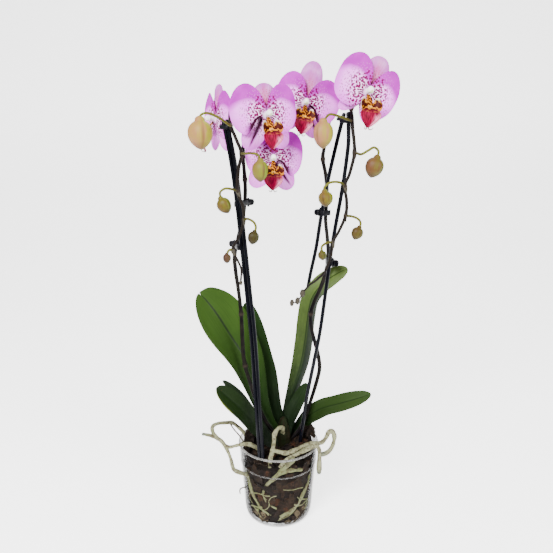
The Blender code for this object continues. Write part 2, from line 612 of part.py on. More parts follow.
def stem_tube(name, grow=0.0):
    """A flower stem, thinner towards its end and swollen at its nodes."""
    points = metres(STEMS[name])
    places = list(np.linspace(0, 1, STEM_RINGS))
    nodes = [share_at_height(points, side, height / 1000) for side, height in STEM_NODES[name]]
    length = np.sum(np.linalg.norm(np.diff(smooth_route(points, 200), axis=0), axis=1))
    near = 0.0035 / length
    places = [p for p in places if all(abs(p - node) > 2.2 * near for node in nodes)]
    for node in nodes:
        places += [node - near, node, node + near]
    places = sorted(places)
    radii = np.interp(places, [0, 0.45, 0.55, 0.85, 1.0],
                      [RISING_RADIUS, RISING_RADIUS * 0.9, HANGING_RADIUS, HANGING_RADIUS * 0.85,
                       STEM_TIP_RADIUS])
    swell = [1.4 if place in nodes else 1.0 for place in places]
    return tube(name, smooth_route(points, places), radii * swell + grow)


def bract(points, share, grow=0.0):
    """A small pointed scale that stands off a stem's node."""
    route = smooth_route(points, [share, min(share + 0.012, 1.0)])
    ahead = (route[1] - route[0]) / np.linalg.norm(route[1] - route[0])
    out = np.cross(ahead, (0.3, 0.2, 0.9))
    out /= np.linalg.norm(out)
    path = np.array([route[0] + 0.0008 * out, route[0] + 0.0022 * out + 0.003 * ahead,
                     route[0] + 0.0034 * out + (0.0075 + grow) * ahead])
    return tube("bract", path, [radius + grow for radius in (0.0022, 0.0018, 0.0005)], 4)


def stem_bracts(name, grow=0.0):
    """The scales at all the nodes of a stem."""
    points = metres(STEMS[name])
    shares = [share_at_height(points, side, height / 1000) for side, height in STEM_NODES[name]]
    return [bract(points, share, grow) for share in shares]


def cut_clear_of_stem(obj, stem):
    """Ends a pedicel just outside its stem and the stem's scales."""
    boolean(obj, [stem_tube(stem, GAP), *stem_bracts(stem, 1.5 * GAP)], "DIFFERENCE", "MANIFOLD")
    return keep_largest_body(obj)


def ball(name, place, radius, stretch=1.0):
    """A small faceted egg."""
    mesh = bpy.data.meshes.new(name)
    shape = bmesh.new()
    bmesh.ops.create_icosphere(shape, subdivisions=1, radius=radius)
    bmesh.ops.scale(shape, vec=(1, 1, stretch), verts=shape.verts)
    bmesh.ops.translate(shape, vec=place, verts=shape.verts)
    shape.to_mesh(mesh)
    shape.free()
    obj = bpy.data.objects.new(name, mesh)
    bpy.context.scene.collection.objects.link(obj)
    return obj


def make_stem(name):
    """A whole flower stem with its bracts and the small buds at its end, cut clear of the crown."""
    stem = stem_tube(name)
    extras = stem_bracts(name)
    for place, radius in TIP_BUDS[name]:
        extras.append(ball("tip_bud", metres(place), radius / 1000, 1.3))
    if name in TIP_TWIGS:
        extras.append(tube("twig", smooth_route(metres(TIP_TWIGS[name]), 6),
                           even_radii(0.0012, 0.0009, 6), 6))
    boolean(stem, extras, "UNION")
    boolean(stem, [crown("cutter", GAP)], "DIFFERENCE")
    keep_largest_body(stem)
    return finish(stem, "stem")


def make_bud(name):
    """A bud: an egg with three soft seams, hanging from its curved pedicel, which meets its stem."""
    route, tip, radius = BUDS[name]
    route = metres(route)
    tip = metres(tip)
    top = route[-1]
    drop = (tip - top) / np.linalg.norm(tip - top)
    length = np.linalg.norm(tip - top) + 0.002
    start = top - 0.002 * drop
    shares = [0.0, 0.12, 0.35, 0.62, 0.86, 1.0]
    swell = [0.22, 0.68, 1.0, 0.93, 0.48, 0.08]
    path = np.array([start + length * s * drop for s in shares])
    sides = 9
    egg = tube(name, path, [radius / 1000 * s for s in swell], sides)
    centre_line = [start + length * s * drop for s in shares]
    for vertex in egg.data.vertices:
        ring = vertex.index // sides
        seam = 1 + 0.035 * math.cos(3 * 2 * math.pi * (vertex.index % sides) / sides)
        centre = Vector(centre_line[ring])
        vertex.co = centre + (vertex.co - centre) * seam
    count = 7 if len(route) > 3 else 4
    pedicel = tube("pedicel", smooth_route(route, count),
                   even_radii(PEDICEL_RADIUS, PEDICEL_RADIUS * 0.85, count), 5)
    boolean(egg, [pedicel], "UNION")
    cut_clear_of_stem(egg, "left_flower_stem" if name.startswith("left") else "right_flower_stem")
    return finish(egg, "bud")


def bloom_matrix(form, roll):
    """Places a bloom that is modelled facing -Y with its hub at the origin."""
    turn = Matrix.Rotation(math.radians(form["turn"]), 4, "Z")
    nod = Matrix.Rotation(math.radians(form["nod"]), 4, "X")
    spin = Matrix.Rotation(math.radians(roll), 4, "Y")
    size = Matrix.Scale(form["size"], 4)
    return Matrix.Translation(Vector(metres(form["hub"]))) @ turn @ nod @ spin @ size


def oval_blade(name, length, half, lift, layer, bend, angle, steps=5, columns=4):
    """A petal or sepal: an oval blade whose inner end is at the hub, with its middle moved up by lift."""
    rows = []
    for share in np.linspace(0.10, 0.96, steps + 1):
        along = length / 2 * (1 - math.cos(math.pi * share))
        width = half * math.sin(math.pi * share) ** 0.9
        centre = lift * math.sin(min(1.0, along / (0.6 * length)) * math.pi / 2)
        rows.append([(along, centre + width * v) for v in np.linspace(-1, 1, columns)])
    middle = np.zeros((steps + 1, columns, 3))
    for r, row in enumerate(rows):
        for c, (along, out) in enumerate(row):
            back = layer + bend * (along**2 + out**2)
            middle[r, c] = (along, back, out)
    blade = sheet(name, middle / 1000, np.full((steps + 1, columns), PETAL_THICKNESS))
    blade.data.transform(Matrix.Rotation(math.radians(angle), 4, "Y"))
    return blade


def hub(name):
    """The middle of a bloom, which the petals and sepals grow from."""
    route = np.array([(0, -0.0045, 0), (0, -0.002, 0), (0, 0.003, 0), (0, 0.0065, 0)])
    return tube(name, route, (0.0035, 0.006, 0.006, 0.003), 7)


def make_petals(name, form):
    """Two broad petals in front of three sepals, all grown from the hub, with the pedicel behind."""
    base = hub(name + "_petals")
    left_length, right_length = form["petals"]
    right = oval_blade("petal", right_length, PETAL_HALF, PETAL_LIFT, PETAL_LAYER, PETAL_BEND, 0)
    left = oval_blade("petal", left_length, PETAL_HALF, PETAL_LIFT, PETAL_LAYER, PETAL_BEND, 0)
    left.data.transform(Matrix.Scale(-1, 4, (1, 0, 0)))
    left.data.flip_normals()
    sepals = [oval_blade("sepal", form["dorsal"], DORSAL_HALF, 0, DORSAL_LAYER, SEPAL_BEND, -90, columns=3)]
    for (angle, layer), (length, half) in zip(LOW_SEPALS, form.get("sepals", SEPAL_SIZES)):
        sepals.append(oval_blade("sepal", length, half, 0, layer, SEPAL_BEND, angle, columns=3))
    boolean(base, [right, left, *sepals], "UNION")
    base.data.transform(bloom_matrix(form, form["roll"]))
    route = smooth_route(metres([form["hub"], *form["pedicel"]]), PEDICEL_RINGS)
    radii = even_radii(PEDICEL_FIRST_RADIUS, PEDICEL_RADIUS, PEDICEL_RINGS)
    pedicel = tube("pedicel", route, radii, PEDICEL_SIDES)
    boolean(base, [pedicel], "UNION")
    cut_clear_of_stem(base, form["stem"])
    return finish(base, "petals")


def blade_along(name, centres, halves, side, cup, thickness, columns):
    """A short curved blade round a line of points, its width along side and its edges raised by cup."""
    centres = np.asarray(centres, dtype=float)
    side = np.asarray(side, dtype=float)
    tangents = np.gradient(centres, axis=0)
    across = np.linspace(-1, 1, columns)
    middle = np.zeros((len(centres), columns, 3))
    for r, half in enumerate(halves):
        up = np.cross(side, tangents[r])
        up /= np.linalg.norm(up)
        for c, v in enumerate(across):
            middle[r, c] = centres[r] + half * (v * side + cup * v * v * up)
    return sheet(name, middle / 1000, np.full(middle.shape[:2], thickness))


def make_lip(name, form):
    """The lip: a claw and a long front lobe, two ears beside the column and a callus between them."""
    lobe = blade_along(name + "_lip", LIP_LOBE, LIP_LOBE_HALVES, (1, 0, 0), -0.28, LIP_THICKNESS, 3)
    ears = []
    for hand in (-1, 1):
        route = [(hand * x, y, z) for x, y, z in LIP_EAR]
        ears.append(blade_along("ear", route, LIP_EAR_HALVES, (-0.30 * hand, 1, 0.35), 0.30 * hand,
                                LIP_THICKNESS, 3))
    callus = ball("callus", LIP_CALLUS, LIP_CALLUS_RADIUS)
    boolean(lobe, [*ears, callus], "UNION")
    keep_largest_body(lobe)
    lobe.data.transform(bloom_matrix(form, form["lip_roll"]))
    return finish(lobe, "lip")


def make_column(name, form):
    """The column: a short stout rod with a hooded end, above the lip."""
    route = np.array([(0, -0.0052, 0.0019), (0, -0.008, 0.0022), (0, -0.011, 0.0022), (0, -0.0142, 0.0012),
                      (0, -0.0158, -0.0006)])
    column = tube(name + "_column", route, [0.0028, 0.0030, 0.0042, 0.0040, 0.0018], 8)
    column.data.transform(bloom_matrix(form, form["lip_roll"]))
    return finish(column, "column")


def root_branch(name, branch, grow=0.0):
    """One branch of a root."""
    route, first, last = branch
    count = max(5, round(1.4 * len(route)))
    path = smooth_route(metres(route), count)
    return tube(name, path, even_radii(first / 1000 + grow, last / 1000 + grow, count), ROOT_SIDES)


def make_air_root(name, others):
    """The branches of one root in the open air, joined, and cut clear of the solids in others."""
    branches = AIR_ROOTS[name]
    root = root_branch(name, branches[0])
    boolean(root, [root_branch("branch", branch) for branch in branches[1:]], "UNION")
    if others:
        boolean(root, others, "DIFFERENCE")
    keep_largest_body(root)
    return finish(root, "root")


def inner_root(name, grow=0.0, out=0.0):
    """A root that hugs the inside of the pot's wall, or a cutter for it moved out towards the wall."""
    places, radius = INNER_ROOTS[name]
    route = []
    for degrees, height in places:
        reach = wall_radius(height / 1000) - radius / 1000 - 3 * GAP + out
        angle = math.radians(degrees)
        route.append((reach * math.cos(angle), reach * math.sin(angle), height / 1000))
    count = 2 * len(route)
    radii = even_radii(radius / 1000 + grow, 0.8 * radius / 1000 + grow, count)
    return tube(name, smooth_route(route, count), radii, ROOT_SIDES)


def stake(name, grow=0.0):
    """One thin stake."""
    points = metres(STAKES[name])
    return tube(name, smooth_route(points, STAKE_RINGS), [STAKE_RADIUS + grow] * STAKE_RINGS)


def make_clip(name):
    """A small clip that wraps the stake and what it holds, with a round finger tab."""
    form = CLIPS[name]
    mesh = bpy.data.meshes.new(name)
    shape = bmesh.new()
    bmesh.ops.create_cube(shape, size=2.0)
    bmesh.ops.scale(shape, vec=metres(form["half"]), verts=shape.verts)
    place = Matrix.Translation(Vector(metres(form["at"]))) @ Matrix.Rotation(math.radians(form["turn"]),
                                                                             4, "Z")
    shape.transform(place)
    shape.to_mesh(mesh)
    shape.free()
    clip = bpy.data.objects.new(name, mesh)
    bpy.context.scene.collection.objects.link(clip)
    tab = metres(form["tab"])
    middle = metres(form["at"])
    arm = np.array([0.5 * tab + 0.5 * middle, 0.75 * tab + 0.25 * middle, tab])
    boolean(clip, [tube("tab", arm, [0.0026, 0.0050, 0.0044], 6)], "UNION")
    held = [stake(piece, GAP) if piece in STAKES else stem_tube(piece, GAP) for piece in form["holds"]]
    boolean(clip, held, "DIFFERENCE")
    keep_largest_body(clip)
    return finish(clip, "clip")


def make_leaf(name):
    """One leaf, cut clear of the crown that it springs from."""
    leaf = leaf_blade(name, LEAVES[name])
    boolean(leaf, [crown("cutter", GAP)], "DIFFERENCE")
    keep_largest_body(leaf)
    return finish(leaf, "leaf")


def bark_cutters():
    """Everything that stands in the bark, a little larger, for its plain holes."""
    cutters = [crown("cutter", GAP)]
    cutters += [stake(name, GAP) for name in STAKES]
    cutters += [stem_tube(name, GAP) for name in STEMS]
    cutters += [leaf_blade("cutter", form, 2 * GAP) for form in LEAVES.values()]
    for branches in AIR_ROOTS.values():
        cutters += [root_branch("cutter", branch, GAP) for branch in branches]
    cutters.append(root_branch("cutter", ROOT_TIP, GAP))
    cutters += [inner_root(name, GAP + INNER_ROOT_SHIFT, INNER_ROOT_SHIFT) for name in INNER_ROOTS]
    return cutters


def main():
    """Clears the scene and builds every sub-part."""
    clear_scene()
    holes = [root_branch("hole", AIR_ROOTS["roots_left"][1], 2 * GAP),
             root_branch("hole", ROOT_TIP, 2 * GAP)]
    make_pot(holes)
    make_bark(bark_cutters())
    finish(crown(), "crown")
    for name in LEAVES:
        make_leaf(name)
    for name in STAKES:
        finish(stake(name), "stake")
    for name in STEMS:
        make_stem(name)
    for name in CLIPS:
        make_clip(name)
    for name in BUDS:
        make_bud(name)
    for name, form in BLOOMS.items():
        make_petals(name, form)
        make_lip(name, form)
        make_column(name, form)
    for name in AIR_ROOTS:
        make_air_root(name, [crown("cutter", GAP)])
    finish(root_branch("root_tip", ROOT_TIP), "root")
    for name in INNER_ROOTS:
        finish(inner_root(name), "root")


main()
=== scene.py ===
"""Dresses the packed moth orchid in its clear pot, from the bark to the blooms.

Metres, +Z up. The plant's frame comes from the packed model: the origin is the middle of the pot's base, the
blooms face -Y and +X is to the viewer's right. Routes are listed in millimetres, and metres() turns them into
metres.
"""

import math
import random

import bmesh
import bpy
import numpy as np
from bpy.props import FloatProperty, FloatVectorProperty, IntProperty, PointerProperty
from bpy.types import Operator, Panel, PropertyGroup
from mathutils import Matrix, Vector


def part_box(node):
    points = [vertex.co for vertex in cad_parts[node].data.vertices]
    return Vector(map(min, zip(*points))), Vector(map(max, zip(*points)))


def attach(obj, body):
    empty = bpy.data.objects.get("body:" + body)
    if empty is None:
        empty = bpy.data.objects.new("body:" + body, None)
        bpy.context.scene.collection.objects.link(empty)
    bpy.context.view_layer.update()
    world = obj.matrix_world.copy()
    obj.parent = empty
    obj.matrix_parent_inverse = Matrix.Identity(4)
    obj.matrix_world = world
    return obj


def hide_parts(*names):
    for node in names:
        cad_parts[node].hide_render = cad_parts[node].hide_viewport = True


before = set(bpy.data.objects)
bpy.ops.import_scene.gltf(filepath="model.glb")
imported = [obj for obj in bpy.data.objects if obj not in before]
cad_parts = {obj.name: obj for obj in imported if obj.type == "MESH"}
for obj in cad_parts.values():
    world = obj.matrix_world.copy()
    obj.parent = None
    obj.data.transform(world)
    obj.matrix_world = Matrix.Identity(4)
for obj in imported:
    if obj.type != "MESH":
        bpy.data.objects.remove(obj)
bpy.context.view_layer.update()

bl_info = {
    "name": "Potted moth orchid",
    "version": (1, 0, 0),
    "blender": (4, 5, 0),
    "location": "3D View > Sidebar > Orchid",
    "description": "Builds the visible pieces of a moth orchid in a clear pot round its packed solids",
    "category": "Add Mesh",
}

# The pot: its rim, wall, corners, step, foot with the (radius, height) points above it, and drain holes.
# RIM_HAZE and STEP_HAZE say how dull the rim and the step are.
POT_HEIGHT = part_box("pot")[1][2]
RIM_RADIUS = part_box("pot")[1][0]
RIM_DEPTH = 0.0035
RIM_HAZE = 0.66
POT_WALL = 0.0014
CORNER_RADIUS = 0.0012
STEP_HEIGHT = 0.090
STEP_RADIUS = 0.0591
STEP_HAZE = 0.60
UNDER_STEP_RADIUS = 0.0579
FOOT_RADIUS = 0.0445
FOOT_CURVE = ((0.0483, 0.0011), (0.0506, 0.0043), (0.0521, 0.0103), (0.0529, 0.019))
DRAIN_HOLES = 6
DRAIN_RADIUS = 0.003
DRAIN_RING = 0.030
# The longest leg of the wall's profile, so that its haze can change along it, the gap round a root that goes
# through the wall, and the gap between a root and the wall's inner face.
WALL_STEP = 0.005
HOLE_GAP = 0.0006
WALL_GAP = 0.0004

# The dark filling, turned about the pot's axis, and the surface of the chips on top of it.
BARK_CORE = ((0.0, 0.0026), (0.0410, 0.0026), (0.0450, 0.0055), (0.0475, 0.0110), (0.0488, 0.0200),
             (0.0535, 0.085), (0.0540, 0.100), (0.040, 0.105), (0.0, 0.107))
BARK_NEAR_WALL = 0.102
BARK_MIDDLE_TOP = 0.107
BARK_TOP_RADIUS = 0.0555
# The closest that a chip's middle comes to a root, the gap between chips and the wall, how far inside it their
# middles stand, the height of the lowest, the spread of those on top, and the tone of a pale one.
CHIP_TO_ROOT = 0.0058
CHIP_TO_WALL = 0.0010
CHIP_DEPTH = 0.0012
CHIP_FLOOR = 0.0022
CHIP_SPREAD = 0.052
PALE_CHIP = 1.5
# Heaps at the back: x, y, width and height over their foot.
BARK_HEAPS = ((-0.024, 0.024, 0.020, 0.012), (0.025, 0.026, 0.018, 0.011), (0.002, 0.038, 0.015, 0.010))
BARK_HEAP_FOOT = 0.104
# Tufts of dry leaf sheaths and bark that stand above the rim: x, y, middle height and spread.
TUFT_PIECES = 15
BARK_TUFTS = ((0.049, 0.014, 0.127, 0.006), (0.036, 0.024, 0.127, 0.007), (-0.044, 0.008, 0.124, 0.007),
              (-0.028, 0.016, 0.127, 0.008))
# Roots at the wall that only show through it: (degrees round the pot, height) along each, and the radius.
WALL_ROOTS = [([(-68, 117), (-79, 106), (-91, 95), (-101, 83)], 4.4)]
WALL_ROOTS += [([(-32 - 5 * k, 66 - 4 * k), (-45 - 4 * k, 46 - 4 * k), (-62 - 3 * k, 33 - 4 * k),
                 (-84 - 2 * k, 23 - 3 * k)], 1.5 - 0.2 * k) for k in range(4)]
WALL_ROOTS += [([(-158 + 6 * k, 84 - 5 * k), (-150 + 6 * k, 62 - 4 * k), (-138 + 6 * k, 44 - 4 * k),
                 (-118 + 5 * k, 30 - 4 * k)], 1.6 - 0.2 * k) for k in range(3)]

RISING_RADIUS = 0.0030
HANGING_RADIUS = 0.0026
STEM_TIP_RADIUS = 0.0014
STAKE_RADIUS = 0.0028
PEDICEL_RADIUS = 0.0018
# The share of a leaf to which its base is darkened with painted shade.
BASE_SHADE = 0.36
# The half height from which a clip has full-size finger wings.
LARGE_CLIP = 0.0040
# The thickness of old leaf bases, the scales on the stems, finger wings, petals, the lip's front lobe and its
# ears.
SHEATH_THICKNESS = 0.0009
SCALE_THICKNESS = 0.0005
WING_THICKNESS = 0.0015
PETAL_THICKNESS = 0.00085
LOBE_THICKNESS = 0.0011
EAR_THICKNESS = 0.0010
# The length of a root between two of its rings.
ROOT_RING = 0.0011
# The dark streak on a petal or sepal beside the lip.
STREAK_TONE = (0.030, 0.002, 0.014)
UP = np.array([0.0, 0.0, 1.0])

# Where the random draws start.
CROWN_SEED = 4
AIR_ROOT_SEED = 21
INNER_ROOT_SEED = 33

# The stage: soft lights as (name, power, size, place) and where they point, the light of the room, the pale
# sweep's side as (y, z) with its half width, and the width of the camera's sensor in millimetres.
LIGHTS = (("key", 115, 0.8, (-0.8, -1.4, 1.5)), ("fill", 42, 0.9, (1.3, -1.1, 0.9)),
          ("back", 8, 1.0, (0.3, 1.2, 1.4)))
LIGHTS_AIM = (0, 0, 0.35)
ROOM_LIGHT = 0.10
SWEEP = ((-0.45, 0.0), (0.0, 0.0), (1.6, 0.0), (2.2, 0.06), (2.6, 0.3), (2.8, 0.8), (2.85, 3.5))
SWEEP_HALF = 2.4
SENSOR_WIDTH = 36


def metres(points):
    """The same points, from millimetres to metres."""
    return np.array(points, dtype=float) / 1000.0


# Stakes, from inside the bark to their tops.
STAKES = {
    "stake_left_front": [(-22, -38, 84), (-24, -35, 125), (-28, -31, 190), (-34, -24, 293), (-40, -20, 358),
                         (-47, -15, 430), (-54, -11, 500), (-61, -8, 552), (-70, -5, 600)],
    "stake_left_back": [(-27.2, -35.4, 84), (-29.2, -32.4, 125), (-33.2, -28.4, 190), (-39.2, -21.4, 293),
                        (-45.2, -17.4, 358), (-52.2, -12.4, 430), (-59.2, -8.4, 500), (-66.2, -5.4, 552),
                        (-75.2, -2.4, 600)],
    "stake_right_back": [(13, 33, 84), (16, 36, 118), (22, 40, 183), (30, 44, 230), (38, 44, 286),
                         (46, 42, 361), (56, 34, 418), (62, 24, 468), (70, 14, 520), (81, 5, 576),
                         (88.5, 1.2, 609)],
    "stake_right_front": [(30, 5, 84), (34, 3, 119), (38, 0, 150), (44, -2, 199), (53, -5, 253),
                          (61, -8, 302), (68, -10, 364), (75, -11, 427), (81, -11, 467), (88, -9, 510),
                          (93, -7, 550), (95, -6, 576), (93.7, -3.5, 610)],
}

# Flower stems: the part that rises, the arch, and the part that hangs down in front with the buds.
STEMS = {
    "left_flower_stem": [(4, 5, 125), (-8, 1.5, 135), (-19, 0, 151), (-29, -1.5, 174), (-37, -4, 199),
                         (-45, -5, 227), (-50, -4, 246), (-53, -2, 270), (-55, 0, 326), (-59, 4, 363),
                         (-63, 10, 390), (-64, 14, 412), (-58, 18, 441), (-51, 20, 470), (-48, 20, 497),
                         (-48, 19, 521), (-50, 20, 550), (-49, 22, 589), (-49, 19, 616), (-54, 11, 629),
                         (-61, -1, 625), (-65, -10, 610), (-64, -16, 594), (-57, -21, 577),
                         (-50, -23, 558), (-54, -23, 538), (-56, -24, 508), (-49, -24, 488),
                         (-48, -25, 469), (-54, -26, 447), (-64, -26, 428), (-57, -28, 413),
                         (-52, -29, 400), (-53, -29, 384)],
    "right_flower_stem": [(10, 8, 112), (22, 12, 119), (33, 13, 132), (42, 13, 154), (51, 13, 184),
                          (59, 14, 213), (63, 13, 236), (60, 12, 259), (54, 10, 282), (49, 9, 303),
                          (48, 9, 323), (53, 9, 342), (62, 10, 363), (69, 13, 385), (73, 16, 407),
                          (72, 22, 431), (69, 30, 462), (70, 31, 482), (70, 29, 507), (67, 27, 530),
                          (63, 25, 549), (65, 24, 568), (69, 24, 592), (76, 21, 616), (85, 13, 629),
                          (94, 1, 624), (98, -8, 609), (99, -14, 591), (102, -18, 560), (96, -20, 531),
                          (90, -20, 515), (93, -21, 494), (92, -21, 474), (83, -22, 452), (75, -23, 437),
                          (73, -24, 420), (66, -25, 398), (54, -23, 384), (44, -21, 376), (35, -19, 365)],
}
# Heights of the swollen nodes, with "up" on the rising part and "down" on the hanging part.
STEM_NODES = {
    "left_flower_stem": [("up", 246), ("up", 326), ("up", 521), ("down", 558), ("down", 508), ("down", 469),
                         ("down", 428)],
    "right_flower_stem": [("up", 323), ("up", 549), ("down", 560), ("down", 515), ("down", 474),
                          ("down", 437)],
}

# The small undeveloped buds at the end of each hanging stem: place and radius.
TIP_BUDS = {
    "left_flower_stem": [((-53, -29, 381), 2.2)],
    "right_flower_stem": [((34, -19, 363), 3.6), ((27, -20, 352), 3.3), ((19, -20, 349), 2.9)],
}
TIP_TWIGS = {
    "right_flower_stem": [(36, -19, 367), (31, -19, 357), (26, -20, 351), (19, -20, 348)],
}

# Buds: the pedicel's route from its stem, the bud's lower tip and its widest radius.
BUDS = {
    "left_bud_1": ([(-64, -15, 596), (-62, -25, 594), (-65, -36, 595), (-76, -45, 603), (-90, -49, 609),
                    (-99, -50, 607), (-101, -50, 600)], (-100, -50, 563), 16.0),
    "left_bud_2": ([(-50, -23, 558), (-46, -34, 558), (-37, -45, 559), (-27, -52, 557), (-24, -52, 549)],
                   (-24, -52, 522), 10.4),
    "left_bud_3": ([(-56, -24, 508), (-63, -28, 511), (-72, -30, 512), (-79, -31, 507), (-78, -31, 498)],
                   (-68, -31, 479), 9.5),
    "left_bud_4": ([(-48, -25, 469), (-42, -30, 471), (-34, -33, 467), (-31, -33, 460), (-33, -33, 453)],
                   (-37, -33, 436), 7.6),
    "left_bud_5": ([(-64, -26, 428), (-69, -29, 427), (-72, -30, 421)], (-71.5, -30, 409), 5.6),
    "right_bud_1": ([(98.5, -12, 600), (91, -22, 602), (78, -29, 606), (66, -32, 608), (58, -32, 599)],
                    (58, -32, 564), 13.0),
    "right_bud_2": ([(102, -18, 560), (110, -23, 557), (119, -27, 562), (126.5, -28, 566),
                     (132.5, -28, 561), (131, -28, 552)], (123.5, -28, 526), 12.0),
    "right_bud_3": ([(90, -20, 515), (82, -25, 520), (70, -27, 520), (62, -28, 514), (62, -28, 507)],
                    (65, -28, 487), 9.8),
    "right_bud_4": ([(92, -21, 474), (100, -26, 474), (108, -29, 471), (112, -29, 465), (110, -29, 458)],
                    (104, -29, 442), 7.9),
    "right_bud_5": ([(75, -23, 437), (68, -27, 438), (60, -29, 433), (59.5, -29, 425)], (62, -29, 413),
                    5.9),
}

# Blooms: the hub, turn about Z, roll and size; the lengths of the left petal, the right petal and
# the dorsal sepal; the length and half width of the right and the left lower sepal where they differ from
# the rest; the lip's roll; and the pedicel's route from behind the hub back to its stem.
BLOOMS = {
    "bloom_1": dict(hub=(-16.5, -44, 607), turn=22, roll=-2, size=1.0, petals=(48.5, 42.5), dorsal=39.5,
                    lip_roll=-2, pedicel=[(-24, -30, 608), (-34, -8, 613), (-44, 11, 617), (-49.5, 18, 617)]),
    "bloom_2": dict(hub=(36, 8, 624), turn=4, roll=14, size=0.97, petals=(43.5, 49), dorsal=58.5,
                    lip_roll=10, pedicel=[(33, 22, 626), (42, 30, 621), (58, 30, 610), (72, 23, 603)]),
    "bloom_3": dict(hub=(-7.5, -13, 551), turn=3, roll=4, size=0.96, petals=(40, 41.5), dorsal=47,
                    lip_roll=2, pedicel=[(-9, 0, 553), (-18, 12, 557), (-36, 19, 556), (-50, 20, 551)]),
    "bloom_4": dict(hub=(113.5, -32, 635.5), turn=12, roll=28, size=1.05, petals=(44.5, 40),
                    dorsal=47, sepals=((38, 11), (39, 9)),
                    lip_roll=6, pedicel=[(108, -20, 631), (102, -12, 624), (97.5, -7, 613)]),
    "bloom_5": dict(hub=(-88.5, 44, 603.5), turn=-60, roll=0, size=1.0, petals=(46.5, 46.5), dorsal=49,
                    lip_roll=0, pedicel=[(-74, 49, 604), (-62, 41, 612), (-54, 28, 619), (-49.5, 20, 617)]),
}

# A bloom of size 1 in millimetres, facing -Y with its hub at the origin: half widths, the rise of a
# petal's middle line, how far forward each blade starts, how fast it bends back, and the lower sepals'
# lengths with their half widths and angles with their layers, the right one first.
PETAL_HALF = 32
PETAL_LIFT = 7
PETAL_LAYER = -2.4
PETAL_BEND = 0.0016
DORSAL_HALF = 17
DORSAL_LAYER = 2.0
SEPAL_SIZES = ((50, 15.5), (50, 15.5))
SEPAL_BEND = 0.0011
LOW_SEPALS = ((56, 1.5), (124, 3.3))

# The lip of that bloom: the middle lines and half widths of its front lobe and of its right ear, and one
# tendril.
LIP_LOBE = [(0, -5.2, -3.0), (0, -10, -8), (0, -14.5, -14), (0, -18.5, -20), (0, -21, -26), (0, -21.5, -32),
            (0, -20.5, -38), (0, -18.5, -42.5)]
LIP_LOBE_HALVES = [2.2, 3.2, 4.2, 6.5, 13.0, 11.5, 6.5, 1.5]
LIP_EAR = [(2.4, -13.6, -26.5), (6.0, -16.2, -23.0), (8.6, -17.8, -18.0), (9.6, -18.0, -12.5),
           (9.0, -16.6, -7.0)]
LIP_EAR_HALVES = [2.6, 5.4, 6.6, 5.6, 1.4]
LIP_TENDRIL = [(0.8, -18.8, -42), (2.2, -19.6, -44.5), (4.6, -21.5, -44.2), (5.4, -23.2, -42.2)]

# Leaves: midrib, widest half width, half width at the base, the share of the length where it is widest,
# the fold of the two halves, the share where the tip starts to round, the depth of a notch in the tip, the
# shares to which the base and one half are darkened with painted shade, and where the upper face looks at the
# base and the tip.
LEAVES = {
    "leaf_1": dict(spine=[(2, 10, 128), (-14, 12, 146), (-28.5, 13, 180), (-40.5, 15, 219),
                          (-53.5, 16, 253.5), (-73, 18, 286), (-93, 20, 319), (-109, 21, 341),
                          (-120, 22, 352)],
                   half=39, base=8, belly=0.93, fold=0.45, rounding=0.70, notch=5, shade=0.62,
                   face=[(0.1, -1, 0.1), (0.42, -0.85, 0.32)]),
    "leaf_2": dict(spine=[(5, 14, 136), (-2, 18, 146), (-13, 24, 174), (-26, 30, 218), (-35, 36, 257),
                          (-42, 40, 297), (-48, 42, 333)],
                   half=25, base=12, belly=0.5, fold=0.12, rounding=0.38,
                   face=[(0, -1, 0.1), (-0.15, -0.97, 0.15)]),
    "leaf_3": dict(spine=[(1, 1, 113), (-14, -6, 123), (-30, -12, 146), (-46, -19, 171), (-60, -26, 190),
                          (-77, -34, 211), (-90, -40, 227)],
                   half=16, base=8, belly=0.6, fold=0.15, rounding=0.72,
                   face=[(-0.1, -0.8, 0.6), (0.3, -0.68, 0.67)]),
    "leaf_4": dict(spine=[(8, 17, 138), (17, 25, 172), (25, 28, 200), (35, 28, 239), (40.5, 27, 276),
                          (44, 26, 312), (49.5, 25, 342), (63, 24, 363), (82, 22, 379), (102, 18, 391)],
                   half=14, base=6, belly=0.45, fold=-0.45, rounding=0.84, shaded_half_end=0.84,
                   face=[(-0.1, -1, 0), (0.25, -0.9, 0.35)]),
    "leaf_5": dict(spine=[(13, 7, 128), (17, 10.5, 147), (24, 14, 167), (34, 17, 188), (44, 16, 209)],
                   half=10.5, base=7, belly=0.5, fold=-0.2, rounding=0.50,
                   face=[(0, -1, 0), (-0.3, -0.95, 0.1)]),
    "leaf_6": dict(spine=[(14, 13, 116), (27, 21, 126), (38, 21, 140), (51, 14, 157), (68, 3, 173),
                          (90, -12, 187.5), (115, -23, 201), (136, -30, 212)],
                   half=15, base=7, belly=0.55, fold=0.14, rounding=0.66,
                   face=[(0, -1, 0.15), (-0.2, -0.62, 0.76)]),
    "leaf_7": dict(spine=[(1, 3.5, 112), (-18, -1.5, 131), (-38, -3.5, 163), (-58, -7, 196),
                          (-74, -12, 217), (-83, -15, 227)],
                   half=8, base=6, belly=0.5, fold=0.1, rounding=0.6,
                   face=[(0, -0.9, 0.4), (0.3, -0.7, 0.6)]),
}

